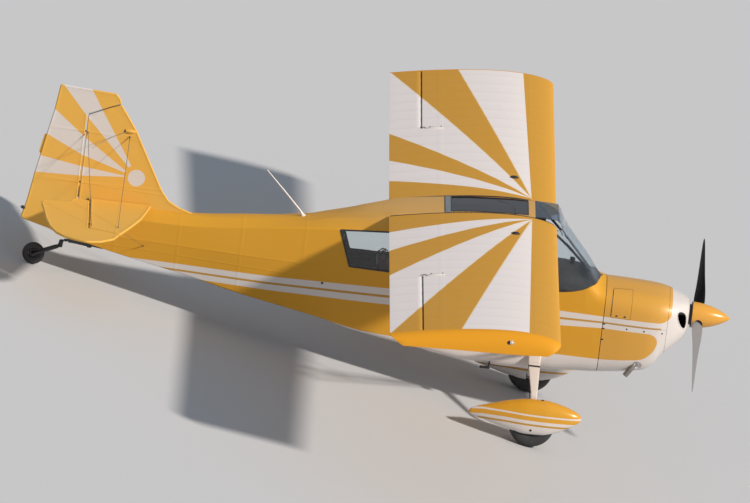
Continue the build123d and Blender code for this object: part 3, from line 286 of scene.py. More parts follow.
class Shape:
    """The points and faces of one piece, gathered from lofts, tubes and plates.

    A loft's slot is one material number, or one for each side of its rings."""

    def __init__(self):
        self.points, self.faces, self.slots = [], [], []

    def add(self, points, faces, slot=0):
        base = len(self.points)
        self.points += [tuple(point) for point in points]
        self.faces += [tuple(base + i for i in face) for face in faces]
        self.slots += slot if isinstance(slot, list) else [slot] * len(faces)
        return self

    def loft(self, rings, slot=0, caps=True, closed=True):
        size = len(rings[0])
        points = [point for ring in rings for point in ring]
        faces, slots = [], []
        for r in range(len(rings) - 1):
            for i in range(size if closed else size - 1):
                a, b = r * size + i, r * size + (i + 1) % size
                faces.append((a, b, b + size, a + size))
                slots.append(slot[i] if isinstance(slot, list) else slot)
        if caps:
            faces.append(tuple(range(size)))
            faces.append(tuple((len(rings) - 1) * size + i for i in reversed(range(size))))
            slots += [slots[0], slots[0]]
        return self.add(points, faces, slots)

    def tube(self, path, radius, sides=12, slot=0, squash=1.0):
        """A round bar along the path; radius is one number or one for each point."""
        return self.loft(tube_rings(path, radius, sides, squash), slot)

    def pipe(self, path, outer, inner, sides=20, slot=0):
        """An open pipe along the path."""
        outside, inside = tube_rings(path, outer, sides), tube_rings(path, inner, sides)
        return self.loft(outside + inside[::-1] + outside[:1], slot, caps=False)

    def lathe(self, profile, centre, axis, sides=48, slot=0, closed=True):
        """A profile of (along, radius) pairs turned about an axis through the centre."""
        centre, axis = Vector(centre), Vector(axis).normalized()
        across = axis.orthogonal().normalized()
        other = axis.cross(across)
        rings = []
        for c, s in circle(sides):
            out = c * across + s * other
            rings.append([centre + axis * along + out * radius for along, radius in profile])
        rings.append(rings[0])
        return self.loft(rings, slot, caps=False, closed=closed)

    def turned(self, profile, centre, axis, sides=48, slot=0):
        """A solid turned about an axis: its profile is closed to the axis at both ends."""
        closed = [(profile[0][0], 0), *profile, (profile[-1][0], 0)]
        return self.lathe(closed, centre, axis, sides, slot)

    def block(self, low, high, slot=0, bevel=0.0):
        """A box between two corners, its upright and level edges cut back by bevel."""
        rings = []
        (x0, y0, z0), (x1, y1, z1) = low, high
        levels = [
            (z0, bevel), (z0 + bevel, 0), (z1 - bevel, 0), (z1, bevel)
        ] if bevel else [(z0, 0), (z1, 0)]
        for z, inset in levels:
            corners = [
                (x0 + inset, y0 + inset), (x1 - inset, y0 + inset), (x1 - inset, y1 - inset),
                (x0 + inset, y1 - inset)
            ]
            ring = rounded([(x, y, z) for x, y in corners], [bevel] * 4, 3) if bevel else None
            rings.append(ring or [(x, y, z) for x, y in corners])
        return self.loft(rings, slot)

    def pillow(self, outline, lift, turn, slot=0):
        """A plate from its outline, rounded at the rim: lift is (inset, height) pairs."""
        flat = []
        for point, after in zip(outline, outline[1:] + outline[:1]):
            point, after = Vector(point).to_2d(), Vector(after).to_2d()
            count = max(1, round((after - point).length / 0.05))
            flat += [point.lerp(after, t) for t in steps(0, 1, count)[:-1]]
        sides = list(zip(flat, flat[1:] + flat[:1]))
        area = sum(a.x * b.y - b.x * a.y for a, b in sides)
        sign = 1 if area > 0 else -1

        def off_rim(p):
            near = 1.0
            for a, b in sides:
                t = (p - a).dot(b - a) / (b - a).length_squared
                near = min(near, (a.lerp(b, min(1, max(0, t))) - p).length)
            return near

        def height_at(inset):
            for (a, low), (b, high) in zip(lift, lift[1:]):
                if inset <= b:
                    return lerp(low, high, (inset - a) / (b - a))
            return lift[-1][1]

        inner = []
        for i, p in enumerate(flat):
            before = (p - flat[i - 1]).normalized()
            after = (flat[(i + 1) % len(flat)] - p).normalized()
            across = (before + after).normalized()
            normal = sign * Vector((-across.y, across.x))
            normal /= max(0.35, math.sqrt(max(0.0, (1 + before.dot(after)) / 2)))
            inner += [
                p + normal * inset for inset, _ in lift[1:] if off_rim(p + normal * inset) > 0.97 * inset
            ]
        spots, faces = filled(flat, inner, 0.06, lambda p: off_rim(p) > 1.3 * lift[-1][0])
        heights = [height_at(off_rim(p)) for p in spots]
        heights = [0.0 if h < 1e-5 else h for h in heights]
        self.add([turn(p, h) for p, h in zip(spots, heights)], faces, slot)
        self.add([turn(p, -h) for p, h in zip(spots, heights)], [face[::-1] for face in faces], slot)
        return self

    def mesh(self, name, sharp=SHARP_ANGLE):
        made = bpy.data.meshes.new(name)
        made.from_pydata(self.points, [], self.faces)
        made.polygons.foreach_set("material_index", self.slots)
        tidy = bmesh.new()
        tidy.from_mesh(made)
        bmesh.ops.remove_doubles(tidy, verts=tidy.verts, dist=1e-5)
        bmesh.ops.dissolve_degenerate(tidy, edges=tidy.edges, dist=1e-6)
        bmesh.ops.recalc_face_normals(tidy, faces=tidy.faces)
        tidy.to_mesh(made)
        tidy.free()
        return shade(made, sharp)

    def piece(self, name, body, slot, paints, replaces=(), place=LEVEL):
        """The finished piece, riding on its CAD body."""
        return ridden(new_object(name, self.mesh(name), paints, place), body, replaces)


def ridden(made, body, replaces=()):
    """Puts a piece on its CAD body, in place of the CAD nodes it replaces."""
    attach(made, body)
    if replaces:
        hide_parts(*replaces)
    return made


def carve(piece, shape, operation="DIFFERENCE"):
    """Cuts another closed shape out of a piece, or keeps only what both hold."""
    paints = list(piece.data.materials)
    cutter = new_object("cutter", shape.mesh("cutter"), paints, piece.matrix_world)
    cut = piece.modifiers.new("cut", "BOOLEAN")
    cut.operation = operation
    cut.object = cutter
    cut.solver = "EXACT"
    cut.material_mode = "TRANSFER"
    piece.data = applied(piece)
    bpy.data.objects.remove(cutter)
    return piece


def applied(piece):
    """The mesh of a piece with its modifiers in it; the modifiers go."""
    bpy.context.view_layer.update()
    graph = bpy.context.evaluated_depsgraph_get()
    mesh = bpy.data.meshes.new_from_object(piece.evaluated_get(graph))
    piece.modifiers.clear()
    return mesh


def prism(outline, low, high, axis="y"):
    """A straight prism through an outline: (x, z) pairs along Y, or (x, y) pairs along Z."""
    shape = Shape()
    if axis == "y":
        rings = [[(x, y, z) for x, z in outline] for y in (low, high)]
    else:
        rings = [[(x, y, z) for x, y in outline] for z in (low, high)]
    return shape.loft(rings)


# ---- paints


class Field:
    """A number that varies over a surface: arithmetic and comparisons on it add math nodes."""

    def __init__(self, paint, socket):
        self.paint, self.socket = paint, socket

    def math(self, operation, *others):
        node = self.paint.nodes.new("ShaderNodeMath")
        node.operation = operation
        for slot, value in zip(node.inputs, (self, *others)):
            self.paint.feed(slot, value)
        return Field(self.paint, node.outputs[0])

    def __rsub__(self, other):
        return self.math("MULTIPLY", -1) + other

    def between(self, low, high):
        return (self > low) & (self < high)

    def soft(self, low, high):
        """0 below low, 1 above high, smooth between."""
        node = self.paint.nodes.new("ShaderNodeMapRange")
        node.interpolation_type = "SMOOTHSTEP"
        for slot, value in zip(node.inputs, (self, low, high, 0.0, 1.0)):
            self.paint.feed(slot, value)
        return Field(self.paint, node.outputs[0])

    def off_lines(self, pitch, shift=0.0):
        """Distance from the nearest of the evenly spaced lines."""
        return abs((self / pitch + (0.5 + shift)).math("FRACT") - 0.5) * pitch

    def curve(self, points):
        """The height of a broken line through the points, at this number."""
        node = self.paint.nodes.new("ShaderNodeFloatCurve")
        points = sorted(points)
        low = min(p[1] for p in points)
        size = (max(p[1] for p in points) - low) or 1.0
        start, reach = points[0][0], points[-1][0] - points[0][0]
        line = node.mapping.curves[0].points
        while len(line) < len(points):
            line.new(0.5, 0.5)
        for spot, (x, y) in zip(line, points):
            spot.location = ((x - start) / reach, (y - low) / size)
            spot.handle_type = "VECTOR"
        node.mapping.update()
        share = (self - start) / reach
        self.paint.feed(node.inputs["Value"], share)
        return Field(self.paint, node.outputs[0]) * size + low


OPERATORS = {
    "add": "ADD", "radd": "ADD", "sub": "SUBTRACT", "mul": "MULTIPLY", "rmul": "MULTIPLY",
    "truediv": "DIVIDE", "pow": "POWER", "lt": "LESS_THAN", "gt": "GREATER_THAN",
    "and": "MINIMUM", "or": "MAXIMUM", "abs": "ABSOLUTE",
}
for sign, operation in OPERATORS.items():
    setattr(Field, f"__{sign}__", partialmethod(Field.math, operation))


class Paint:
    """A node material. Values for the shader are set on its own sockets."""

    def __init__(self, name, colour, **values):
        self.material = bpy.data.materials.new(name)
        self.material.use_nodes = True
        self.nodes = self.material.node_tree.nodes
        self.links = self.material.node_tree.links
        self.shader = self.nodes["Principled BSDF"]
        self.shader.inputs["Base Color"].default_value = (*colour, 1)
        for key, value in values.items():
            self.shader.inputs[key.replace("_", " ")].default_value = value
        self.place = self.nodes.new("ShaderNodeTexCoord").outputs["Object"]
        split = self.nodes.new("ShaderNodeSeparateXYZ")
        self.links.new(self.place, split.inputs[0])
        self.x, self.y, self.z = (Field(self, socket) for socket in split.outputs)
        self.height = None

    def feed(self, slot, value):
        if isinstance(value, Field):
            value = value.socket
        if isinstance(value, bpy.types.NodeSocket):
            self.links.new(value, slot)
        else:
            slot.default_value = value

    def noise(self, scale, detail=3.0, stretch=(1, 1, 1)):
        """Noise between 0 and 1, about scale features to the metre."""
        sized = self.nodes.new("ShaderNodeVectorMath")
        sized.operation = "MULTIPLY"
        self.links.new(self.place, sized.inputs[0])
        sized.inputs[1].default_value = stretch
        node = self.nodes.new("ShaderNodeTexNoise")
        self.links.new(sized.outputs[0], node.inputs["Vector"])
        node.inputs["Scale"].default_value = scale
        node.inputs["Detail"].default_value = detail
        return Field(self, node.outputs[0])

    def mix(self, share, a, b):
        """Colour a where share is 0 and b where it is 1."""
        node = self.nodes.new("ShaderNodeMix")
        node.data_type = "RGBA"
        self.feed(node.inputs[0], share)
        for slot, value in ((node.inputs[6], a), (node.inputs[7], b)):
            self.feed(slot, (*value, 1) if isinstance(value, tuple) else value)
        return node.outputs[2]

    def colour(self, value):
        self.links.new(value, self.shader.inputs["Base Color"])
        return self

    def rough(self, low, high, scale=14, stretch=(1, 1, 1)):
        """Roughness that wanders between two values."""
        self.feed(self.shader.inputs["Roughness"], self.noise(scale, 4, stretch) * (high - low) + low)
        return self

    def relief(self, height):
        """Bump from a height in metres."""
        self.height = height if self.height is None else self.height + height
        return self

    def done(self):
        if self.height is not None:
            bump = self.nodes.new("ShaderNodeBump")
            bump.inputs["Strength"].default_value = 1.0
            bump.inputs["Distance"].default_value = 1.0
            self.feed(bump.inputs["Height"], self.height)
            self.links.new(bump.outputs[0], self.shader.inputs["Normal"])
        return self.material


YELLOW = (0.635, 0.315, 0.022)
ORANGE = (0.690, 0.320, 0.022)
WHITE = (0.655, 0.622, 0.600)
WING_WHITE = (0.865, 0.815, 0.800)
GOLD = (0.480, 0.260, 0.045)
# pale tan for the sky's sheen on the fuselage's top: a painted reflection
SKY_SHEEN_TAN = (0.600, 0.400, 0.190)


def worn(paint, colour, amount=0.07):
    """The colour with broad fading and a little dust."""
    faded = paint.mix(paint.noise(1.3, 4) * amount * 2, colour, (0.62, 0.58, 0.50))
    return paint.mix(paint.noise(38, 6) * amount, faded, (0.30, 0.22, 0.12))


def enamel(name, colour=WHITE, rough=(0.20, 0.32), amount=0.05):
    """Glossy paint on metal, with a faint orange peel."""
    paint = Paint(name, colour, Specular_IOR_Level=0.4, Coat_Weight=0.08, Coat_Roughness=0.25)
    paint.rough(*rough)
    paint.relief(paint.noise(420, 2) * 0.00003 + paint.noise(7, 2) * 0.0002)
    paint.colour(worn(paint, colour, amount))
    return paint


def metal(name, colour, rough=(0.25, 0.45), brushed=(1, 1, 1), metallic=1.0):
    """Bare or dull metal with brushing and stains."""
    paint = Paint(name, colour, Metallic=metallic)
    paint.rough(*rough, 60, brushed)
    paint.relief(paint.noise(300, 4, brushed) * 0.00006)
    dark = tuple(0.55 * part for part in colour)
    paint.colour(paint.mix(paint.noise(22, 5, brushed), colour, dark))
    return paint


def rubber(name, colour=(0.022, 0.022, 0.024), rough=(0.55, 0.8), **values):
    paint = Paint(name, colour, **values)
    paint.rough(*rough, 40)
    paint.relief(paint.noise(500, 4) * 0.0002)
    grey = tuple(part * 2.2 + 0.01 for part in colour)
    paint.colour(paint.mix(paint.noise(18, 6) ** 2, colour, grey))
    return paint


def weave(a, b, pitch=0.0022, depth=0.00012):
    """Threads crossing in two directions."""
    warp = (a * (math.tau / pitch)).math("SINE")
    weft = (b * (math.tau / pitch)).math("SINE")
    return (warp * weft) * depth


def cloth_paint(name, colour, rough, relief, speckle, dark, light, **values):
    """Cloth: relief gives the height of its threads, and speckle the noise of its colour."""
    paint = Paint(name, colour, **values).rough(*rough)
    paint.relief(relief(paint))
    paint.colour(paint.mix(paint.noise(*speckle), dark, light))
    return paint.done()


def doped(name, colour):
    """Painted fabric: a gloss coat over a fine weave."""
    paint = Paint(name, colour, Specular_IOR_Level=0.15)
    paint.rough(0.44, 0.58, 9)
    paint.relief(weave(paint.x, paint.z + paint.y, 0.0026, 0.00002))
    paint.relief(paint.noise(4, 2) * 0.0008)
    return paint


# ---- the fuselage's and the cowl's colours

STRIPE_TOP = [
    (-5.2, -0.048), (-5.12, -0.047), (-4.11, -0.036), (-2.95, 0.006), (-1.27, -0.011), (-0.85, -0.018),
    (0, -0.020)
]
STRIPE_SIZE = [
    (-5.2, 0.86), (-5.12, 0.87), (-4.11, 0.97), (-2.95, 1.12), (-1.27, 1.0), (-0.85, 0.8), (0, 0.8)
]
BELLY_LINE = [
    (-6.1, -0.10), (-4.38, -0.262), (-3.2, -0.450), (-2.19, -0.505), (-1.27, -0.448), (-0.857, -0.449),
    (-0.649, -0.431), (-0.50, -0.412), (-0.445, -0.397), (-0.40, -0.370), (-0.360, -0.332),
    (-0.332, -0.288), (-0.315, -0.22), (0, -0.22)
]


def within_corner(a, b, radius):
    """Inside two edges and the rounded corner between them: a and b are distances from them."""
    left = (radius - a) | 0.0
    right = (radius - b) | 0.0
    return (left * left + right * right) < radius * radius


def hull_colours(paint):
    """Yellow with two white stripes and a thin gold line between them, white nose and belly."""
    x, z = paint.x, paint.z
    down = (x.curve(STRIPE_TOP) - z) / x.curve(STRIPE_SIZE)
    upper = within_corner(-0.205 - x, -1 * down, 0.12)
    lower = within_corner(-0.315 - x, down - 0.145, 0.10) & (z > x.curve(BELLY_LINE))
    line = down.between(0.062, 0.084) & (x < -0.29)
    base = paint.mix(upper | lower, WHITE, YELLOW)
    return paint.mix(line, base, GOLD)


# ---- wings

TIP_GLOW = (0.700, 0.310, 0.018)
RAY_Y, RAY_C = 0.385, 0.152  # the point on the wing's top that its rays spread from
# shares of the chord: the aileron's hinge, the lip ahead of it, and where its own skin starts
AILERON_C, LIP_C, FLAP_C = 0.82, 0.803, 0.826
AILERON_NOSE_R = 0.035
COVE_R = AILERON_NOSE_R + 0.008
AILERON_HINGES = (AILERON_Y[0] + 0.195, (AILERON_Y[0] + AILERON_Y[1]) / 2, AILERON_Y[1] - 0.195)


def camber(c):
    if c < 0.4:
        return 0.01 * (0.8 * c - c * c) / 0.16
    return 0.01 * (0.2 + 0.8 * c - c * c) / 0.36


def half_thickness(c):
    curve = 0.2969 * math.sqrt(c) - 0.126 * c - 0.3516 * c**2 + 0.2843 * c**3 - 0.1036 * c**4
    return 0.6 * curve


def wing_frame(side):
    """The wing's own frame: X to its nose along the chord, Y along the span, Z up."""
    ahead = Vector((math.cos(INCIDENCE), 0, math.sin(INCIDENCE)))
    out = Vector((0, math.cos(DIHEDRAL), side * math.sin(DIHEDRAL)))
    out = (out - ahead * out.dot(ahead)).normalized()
    frame = Matrix((ahead, out, ahead.cross(out))).transposed().to_4x4()
    frame.translation = (WING_NOSE[0], 0, WING_NOSE[1] - ROOT_Y * math.tan(DIHEDRAL))
    return LEVEL @ frame


def skin_dip(c, y):
    """The fabric's sag between ribs, behind the metal nose."""
    share = math.sin(math.pi * y / RIB_PITCH) ** 2
    edge = max(0.0, min(1.0, (c - 0.14) / 0.10)) * max(0.0, min(1.0, (0.985 - c) / 0.08))
    return SAG * share * edge


def skin_point(c, y, upper, depth=1.0, nose=0.0, tail=0.0, dip=True):
    place = nose / CHORD + c * (1 - (nose + tail) / CHORD)
    sign = 1 if upper else -1
    half = half_thickness(c) * CHORD * depth + TRAILING_HALF * c * depth
    half -= skin_dip(c, y) if dip else 0
    return (-place * CHORD, y, camber(c) * CHORD * depth + sign * half)


def chord_stops(first, last, count):
    """Chord fractions, close together at the nose."""
    return [lerp(first, last, 1 - math.cos(t * math.pi / 2)) for t in steps(0, 1, count)]


def span_stops(start, end):
    return steps(start, end, max(1, round((end - start) / RIB_PITCH * 4)))


def arc_round_hinge(y, radius, start, end, count=10):
    """Points round the aileron's hinge; 0 degrees is forward and 90 up."""
    x, z = -AILERON_C * CHORD, camber(AILERON_C) * CHORD
    return [
        (x + radius * math.cos(math.radians(a)), y, z + radius * math.sin(math.radians(a)))
        for a in steps(start, end, count)
    ]


def wing(side, name, paints):
    """One wing: the inner panel, the panel ahead of the aileron and the tip cap, all closed."""
    shape = Shape()
    whole = chord_stops(0, 1, 34)
    ring = [(c, True) for c in reversed(whole)] + [(c, False) for c in whole[1:]]
    slots = [0] * (len(whole) - 1) + [1] * len(whole)
    inner, outer = AILERON_Y[0] - 0.006, AILERON_Y[1] + 0.006

    def full_panel(stops):
        shape.loft([[skin_point(c, side * y, up) for c, up in ring] for y in stops], slots)

    full_panel(span_stops(ROOT_Y, inner))
    front = chord_stops(0, LIP_C, 28)
    rings = []
    for y in span_stops(inner, outer):
        points = [skin_point(c, side * y, True) for c in reversed(front)]
        points += [skin_point(c, side * y, False) for c in front[1:]]
        points += arc_round_hinge(side * y, COVE_R, -50, 50)
        rings.append(points)
    shape.loft(rings, [0] * 28 + [1] * 28 + [2] * 12)
    full_panel((outer, TIP_RIB_Y))

    rings = []
    for t in steps(0, 1, 10):
        angle = t * math.pi / 2
        y = TIP_RIB_Y + TIP_CAP * math.sin(angle)
        depth = max(0.03, math.cos(angle) ** 0.75)
        cut = 0.115 * (1 - math.cos(angle)) ** 1.1
        droop = Vector((0, 0, 0.085 * (1 - math.cos(angle))))
        rings.append(
            [Vector(skin_point(c, side * y, up, depth, cut, 1.15 * cut, False)) - droop for c, up in ring]
        )
    shape.loft(rings, 3)
    for y in AILERON_HINGES:
        hinge = Vector((-AILERON_C * CHORD, side * y, camber(AILERON_C) * CHORD))
        shape.tube([hinge + Vector((0.075, 0, 0)), hinge], 0.008, 8, 2)
        shape.tube([hinge - Vector((0, 0.03, 0)), hinge + Vector((0, 0.03, 0))], 0.004, 8, 2)
    shape.piece(
        f"{name}_wing_skin", "airframe", "yellow_fabric", paints, [f"{name}_wing"], wing_frame(side)
    )


def aileron(side, name, paints):
    stops = [lerp(FLAP_C, 1, t) for t in steps(0, 1, 12)]
    rings = []
    for y in span_stops(*AILERON_Y):
        points = [skin_point(c, side * y, True) for c in reversed(stops)]
        points += arc_round_hinge(side * y, AILERON_NOSE_R, 80, -80, 14)
        points += [skin_point(c, side * y, False) for c in stops]
        rings.append(points)
    slots = [0] * 20 + [1] * 21
    skin, body, node = f"{name}_aileron_skin", f"aileron_{name}", f"{name}_aileron"
    Shape().loft(rings, slots).piece(skin, body, "yellow_fabric", paints, [node], wing_frame(side))


def wing_cloth(name, rays):
    """The wing's painted fabric: rib tapes with their stitches, and on top the sunburst's rays."""
    paint = doped(name, YELLOW)
    along = paint.x / -CHORD
    span = abs(paint.y)
    off = span.off_lines(RIB_PITCH)
    tape = 1 - off.soft(0.020, 0.026)
    stitch = (1 - off.soft(0.002, 0.007)) * (1 - paint.x.off_lines(0.065).soft(0.004, 0.012))
    cloth = along > 0.15
    paint.relief((tape * 0.0005 + stitch * 0.0011) * cloth)
    edge = 1 - abs(along - 0.152).soft(0.002, 0.004)
    tail_tape = 1 - abs(along - 0.696).soft(0.012, 0.016)
    paint.relief(tail_tape * 0.0006 + edge * 0.0006)
    colour = YELLOW
    if rays:
        slope = (along - RAY_C) / ((span - RAY_Y) | 0.001)
        white = slope.between(0.0085, 0.0985) | slope.between(0.1919, 0.3829)
        white = (white | slope.between(0.6704, 1.522)) & (span < TIP_RIB_Y)
        colour = paint.mix(white, YELLOW, WING_WHITE)
        rim = abs(slope - 0.0985) * (span - RAY_Y)
        for value in (0.1919, 0.3829, 0.6704, 1.522):
            rim = rim.math("MINIMUM", abs(slope - value) * (span - RAY_Y))
        pin = (rim < 0.004) & (span > RAY_Y + 0.05) & (span < TIP_RIB_Y)
        colour = paint.mix(pin * 0.6, colour, (0.85, 0.70, 0.42))
    faded = paint.mix(paint.noise(0.9, 4) * 0.06, colour, (0.50, 0.42, 0.30))
    grime = (1 - off.soft(0.0, 0.03)) * 0.06 + paint.noise(30, 6) * 0.06
    paint.colour(paint.mix(grime, faded, (0.32, 0.22, 0.10)))
    return paint.done()


# ---- fuselage

# x, keel z, lower corner (y, z, radius), stringer (y, z), upper corner (y, z, radius),
# shoulder (y, z), roof edge (y, z), ridge z
HULL_ROWS = [
    (-0.857, -0.617, 0.385, -0.609, 0.19, 0.385, -0.08, 0.385, 0.213, 0.25, 0.04, 0.276, 0.02, 0.28, 0.283),
    (-0.912, -0.62, 0.384, -0.613, 0.185, 0.384, -0.06, 0.384, 0.228, 0.25, 0.04, 0.291, 0.02, 0.296, 0.30),
    (-1.06, -0.628, 0.38, -0.622, 0.175, 0.38, 0.00, 0.38, 0.408, 0.25, 0.06, 0.464, 0.03, 0.469, 0.475),
    (-1.21, -0.636, 0.376, -0.632, 0.16, 0.376, 0.05, 0.376, 0.585, 0.25, 0.10, 0.628, 0.05, 0.636, 0.643),
    (-1.33, -0.64, 0.373, -0.64, 0.14, 0.373, 0.10, 0.365, 0.74, 0.22, 0.16, 0.768, 0.08, 0.774, 0.777),
    (-1.412, -0.64, 0.37, -0.64, 0.13, 0.37, 0.14, 0.35, 0.84, 0.09, 0.31, 0.868, 0.20, 0.868, 0.868),
    (-1.47, -0.645, 0.37, -0.645, 0.12, 0.37, 0.14, 0.37, 0.70, 0.012, 0.306, 0.72, 0.304, 0.87, 0.871),
    (-1.70, -0.648, 0.37, -0.648, 0.10, 0.37, 0.14, 0.37, 0.70, 0.012, 0.306, 0.72, 0.304, 0.872, 0.873),
    (-2.19, -0.62, 0.37, -0.62, 0.08, 0.37, 0.14, 0.37, 0.69, 0.012, 0.306, 0.71, 0.304, 0.847, 0.85),
    (-2.60, -0.563, 0.36, -0.563, 0.07, 0.36, 0.14, 0.36, 0.66, 0.012, 0.306, 0.70, 0.304, 0.80, 0.803),
    (-2.95, -0.51, 0.348, -0.51, 0.06, 0.348, 0.14, 0.348, 0.60, 0.012, 0.31, 0.70, 0.29, 0.748, 0.758),
    (-3.10, -0.487, 0.34, -0.487, 0.06, 0.34, 0.14, 0.338, 0.572, 0.015, 0.285, 0.69, 0.20, 0.725, 0.733),
    (-3.27, -0.46, 0.327, -0.46, 0.05, 0.327, 0.14, 0.322, 0.553, 0.018, 0.24, 0.655, 0.13, 0.692, 0.70),
    (-3.55, -0.412, 0.30, -0.39, 0.03, 0.306, 0.14, 0.303, 0.522, 0.02, 0.16, 0.597, 0.07, 0.609, 0.612),
    (-3.90, -0.352, 0.262, -0.332, 0.02, 0.284, 0.14, 0.266, 0.484, 0.02, 0.12, 0.515, 0.05, 0.527, 0.53),
    (-4.40, -0.268, 0.214, -0.252, 0.02, 0.24, 0.14, 0.212, 0.408, 0.015, 0.085, 0.47, 0.035, 0.479, 0.48),
    (
        -4.95, -0.158, 0.15, -0.145, 0.015, 0.172, 0.14, 0.16, 0.346, 0.015, 0.055, 0.424, 0.022, 0.431,
        0.432
    ),
    (-5.30, -0.095, 0.116, -0.085, 0.012, 0.134, 0.14, 0.12, 0.331, 0.012, 0.042, 0.42, 0.018, 0.429, 0.43),
    (-5.77, -0.005, 0.08, 0.003, 0.01, 0.088, 0.14, 0.075, 0.333, 0.01, 0.03, 0.42, 0.012, 0.429, 0.43),
    (-6.03, 0.055, 0.06, 0.06, 0.008, 0.062, 0.14, 0.048, 0.335, 0.008, 0.024, 0.42, 0.01, 0.429, 0.43),
]
KEEL, HALF_WIDTH, CORNER_R, STRINGER_Y, EDGE_Z, RIDGE = 0, 1, 3, 4, 12, 13  # some of its columns
HULL = smooth_table(HULL_ROWS)
GLASS_HULL = smooth_table(
    [row for row in HULL_ROWS if row[0] > -1.40]
    + [
        (-1.412, -0.64, 0.37, -0.64, 0.13, 0.37, 0.14, 0.367, 0.868, 0.13, 0.20, 0.868, 0.15, 0.868, 0.868),
        (-1.70, -0.638, 0.37, -0.638, 0.11, 0.37, 0.14, 0.37, 0.872, 0.06, 0.25, 0.872, 0.15, 0.872, 0.872),
    ]
)


def hull_ring(x, inset=0.0, floor=None, table=HULL):
    """The fuselage's section at x, drawn in by inset; floor is its own inset at the bottom."""
    floor = inset if floor is None else floor
    low, y1, z1, r1, y2, z2, y3, z3, r3, y4, z4, y5, z5, top = table(x)
    half = [
        (y1 - inset, z1 + floor),
        (y2 - inset, z2),
        (y3 - inset, z3 - 0.7 * inset),
        (max(0.004, y4 - 0.7 * inset), z4 - inset),
        (max(0.002, y5 - 0.7 * inset), z5 - inset),
    ]
    radii = [max(0.006, r1 - inset), 0.03, max(0.004, r3 - inset), 0.012, 0.012]
    points = [(0, low + floor)] + half + [(0, top - inset)]
    points += [(-y, z) for y, z in reversed(half)]
    radii = [0] + radii + [0.05] + radii[::-1]
    return rounded([(x, y, z) for y, z in points], radii, 5)


def hull_stops(start, end):
    """Stations along the fuselage, closer together round the windshield."""
    stops, x = [start], start
    while True:
        x -= 0.03 if x > -1.6 else (0.06 if x > -3.6 else 0.10)
        if x <= end + 0.01:
            return stops + [end]
        stops.append(x)


def hull_solid(start, end, inset=0.0, floor=None, slot=0, table=HULL):
    return Shape().loft([hull_ring(x, inset, floor, table) for x in hull_stops(start, end)], slot)


WINDSHIELD_SIDE = [
    (-1.630, 0.790), (-1.630, 1.0), (-0.882, 1.0), (-0.882, 0.298), (-0.936, 0.289), (-1.010, 0.266),
    (-1.092, 0.221), (-1.184, 0.192), (-1.303, 0.172), (-1.500, 0.165), (-1.500, 0.790)
]
SKYLIGHT = [(-1.700, 0.264), (-1.700, -0.264), (-2.440, -0.264), (-2.440, 0.264)]
DOOR = [(-1.560, -0.400), (-1.560, 0.640), (-2.460, 0.640), (-2.460, -0.400)]
DOOR_WINDOW = [(-1.615, 0.165), (-1.615, 0.585), (-2.405, 0.585), (-2.405, 0.165)]
REAR_WINDOW = [(-2.590, 0.600), (-3.020, 0.574), (-3.496, 0.528), (-3.366, 0.165), (-2.590, 0.165)]
BOTH, RIGHT, LEFT = (-0.7, 0.7), (-0.7, -0.15), (0.15, 0.7)


def grown(points, gap):
    """An outline moved outward by gap, or inward where gap is below 0."""
    size = len(points)
    flat = [Vector(point) for point in points]
    area = sum(flat[i - 1].x * flat[i].y - flat[i].x * flat[i - 1].y for i in range(size))
    sign = 1 if area > 0 else -1
    out = []
    for i in range(size):
        before = (flat[i] - flat[i - 1]).normalized()
        after = (flat[(i + 1) % size] - flat[i]).normalized()
        normal = Vector((before.y + after.y, -before.x - after.x)).normalized()
        reach = gap / max(0.4, math.sqrt(max(0.0, (1 + before.dot(after)) / 2)))
        out.append(tuple(flat[i] + sign * reach * normal))
    return out


def outline(points, radius, gap=0.0):
    """An outline seen from the side, grown by gap, with rounded corners."""
    wide = [(x, 0.0, z) for x, z in grown(points, gap)]
    return [(x, z) for x, _, z in rounded(wide, [radius] * len(wide), 5)]


def hull_patch(name, points, sides, radius, out, thick, hole=None, top=False, table=HULL):
    """A piece of skin inside an outline: out proud of the hull, and thick deep."""
    xs = [p[0] for p in points]
    start, end = min(max(xs) + 0.06, -0.862), min(xs) - 0.06
    paints = [bpy.data.materials["clear_glass"], bpy.data.materials["cabin_lining"]]
    made = new_object(name, hull_solid(start, end, -out, table=table).mesh(name), paints)
    inner = hull_solid(start + 0.02, end - 0.02, thick - out, slot=1, table=table)
    carve(made, inner)
    if top:
        carve(made, prism(points, 0.68, 1.0, "z"), "INTERSECT")
        return made
    keep = Shape()
    for low, high in sides:
        keep.loft([[(x, y, z) for x, z in outline(points, radius)] for y in (low, high)])
    carve(made, keep, "INTERSECT")
    if hole is not None:
        cut = Shape()
        for low, high in sides:
            rim = outline(points, radius, -hole)
            cut.loft([[(x, y * 1.1, z) for x, z in rim] for y in (low, high)])
        carve(made, cut)
    return made


def finish_piece(made, body, paints, replaces=(), sharp=SHARP_ANGLE):
    """Puts a carved piece in its place with its paints."""
    slots = [face.material_index for face in made.data.polygons]
    made.data.materials.clear()
    for paint in as_list(paints):
        made.data.materials.append(paint)
    made.data.polygons.foreach_set("material_index", [min(k, len(made.data.materials) - 1) for k in slots])
    made.matrix_world = LEVEL
    shade(made.data, sharp)
    return ridden(made, body, replaces)


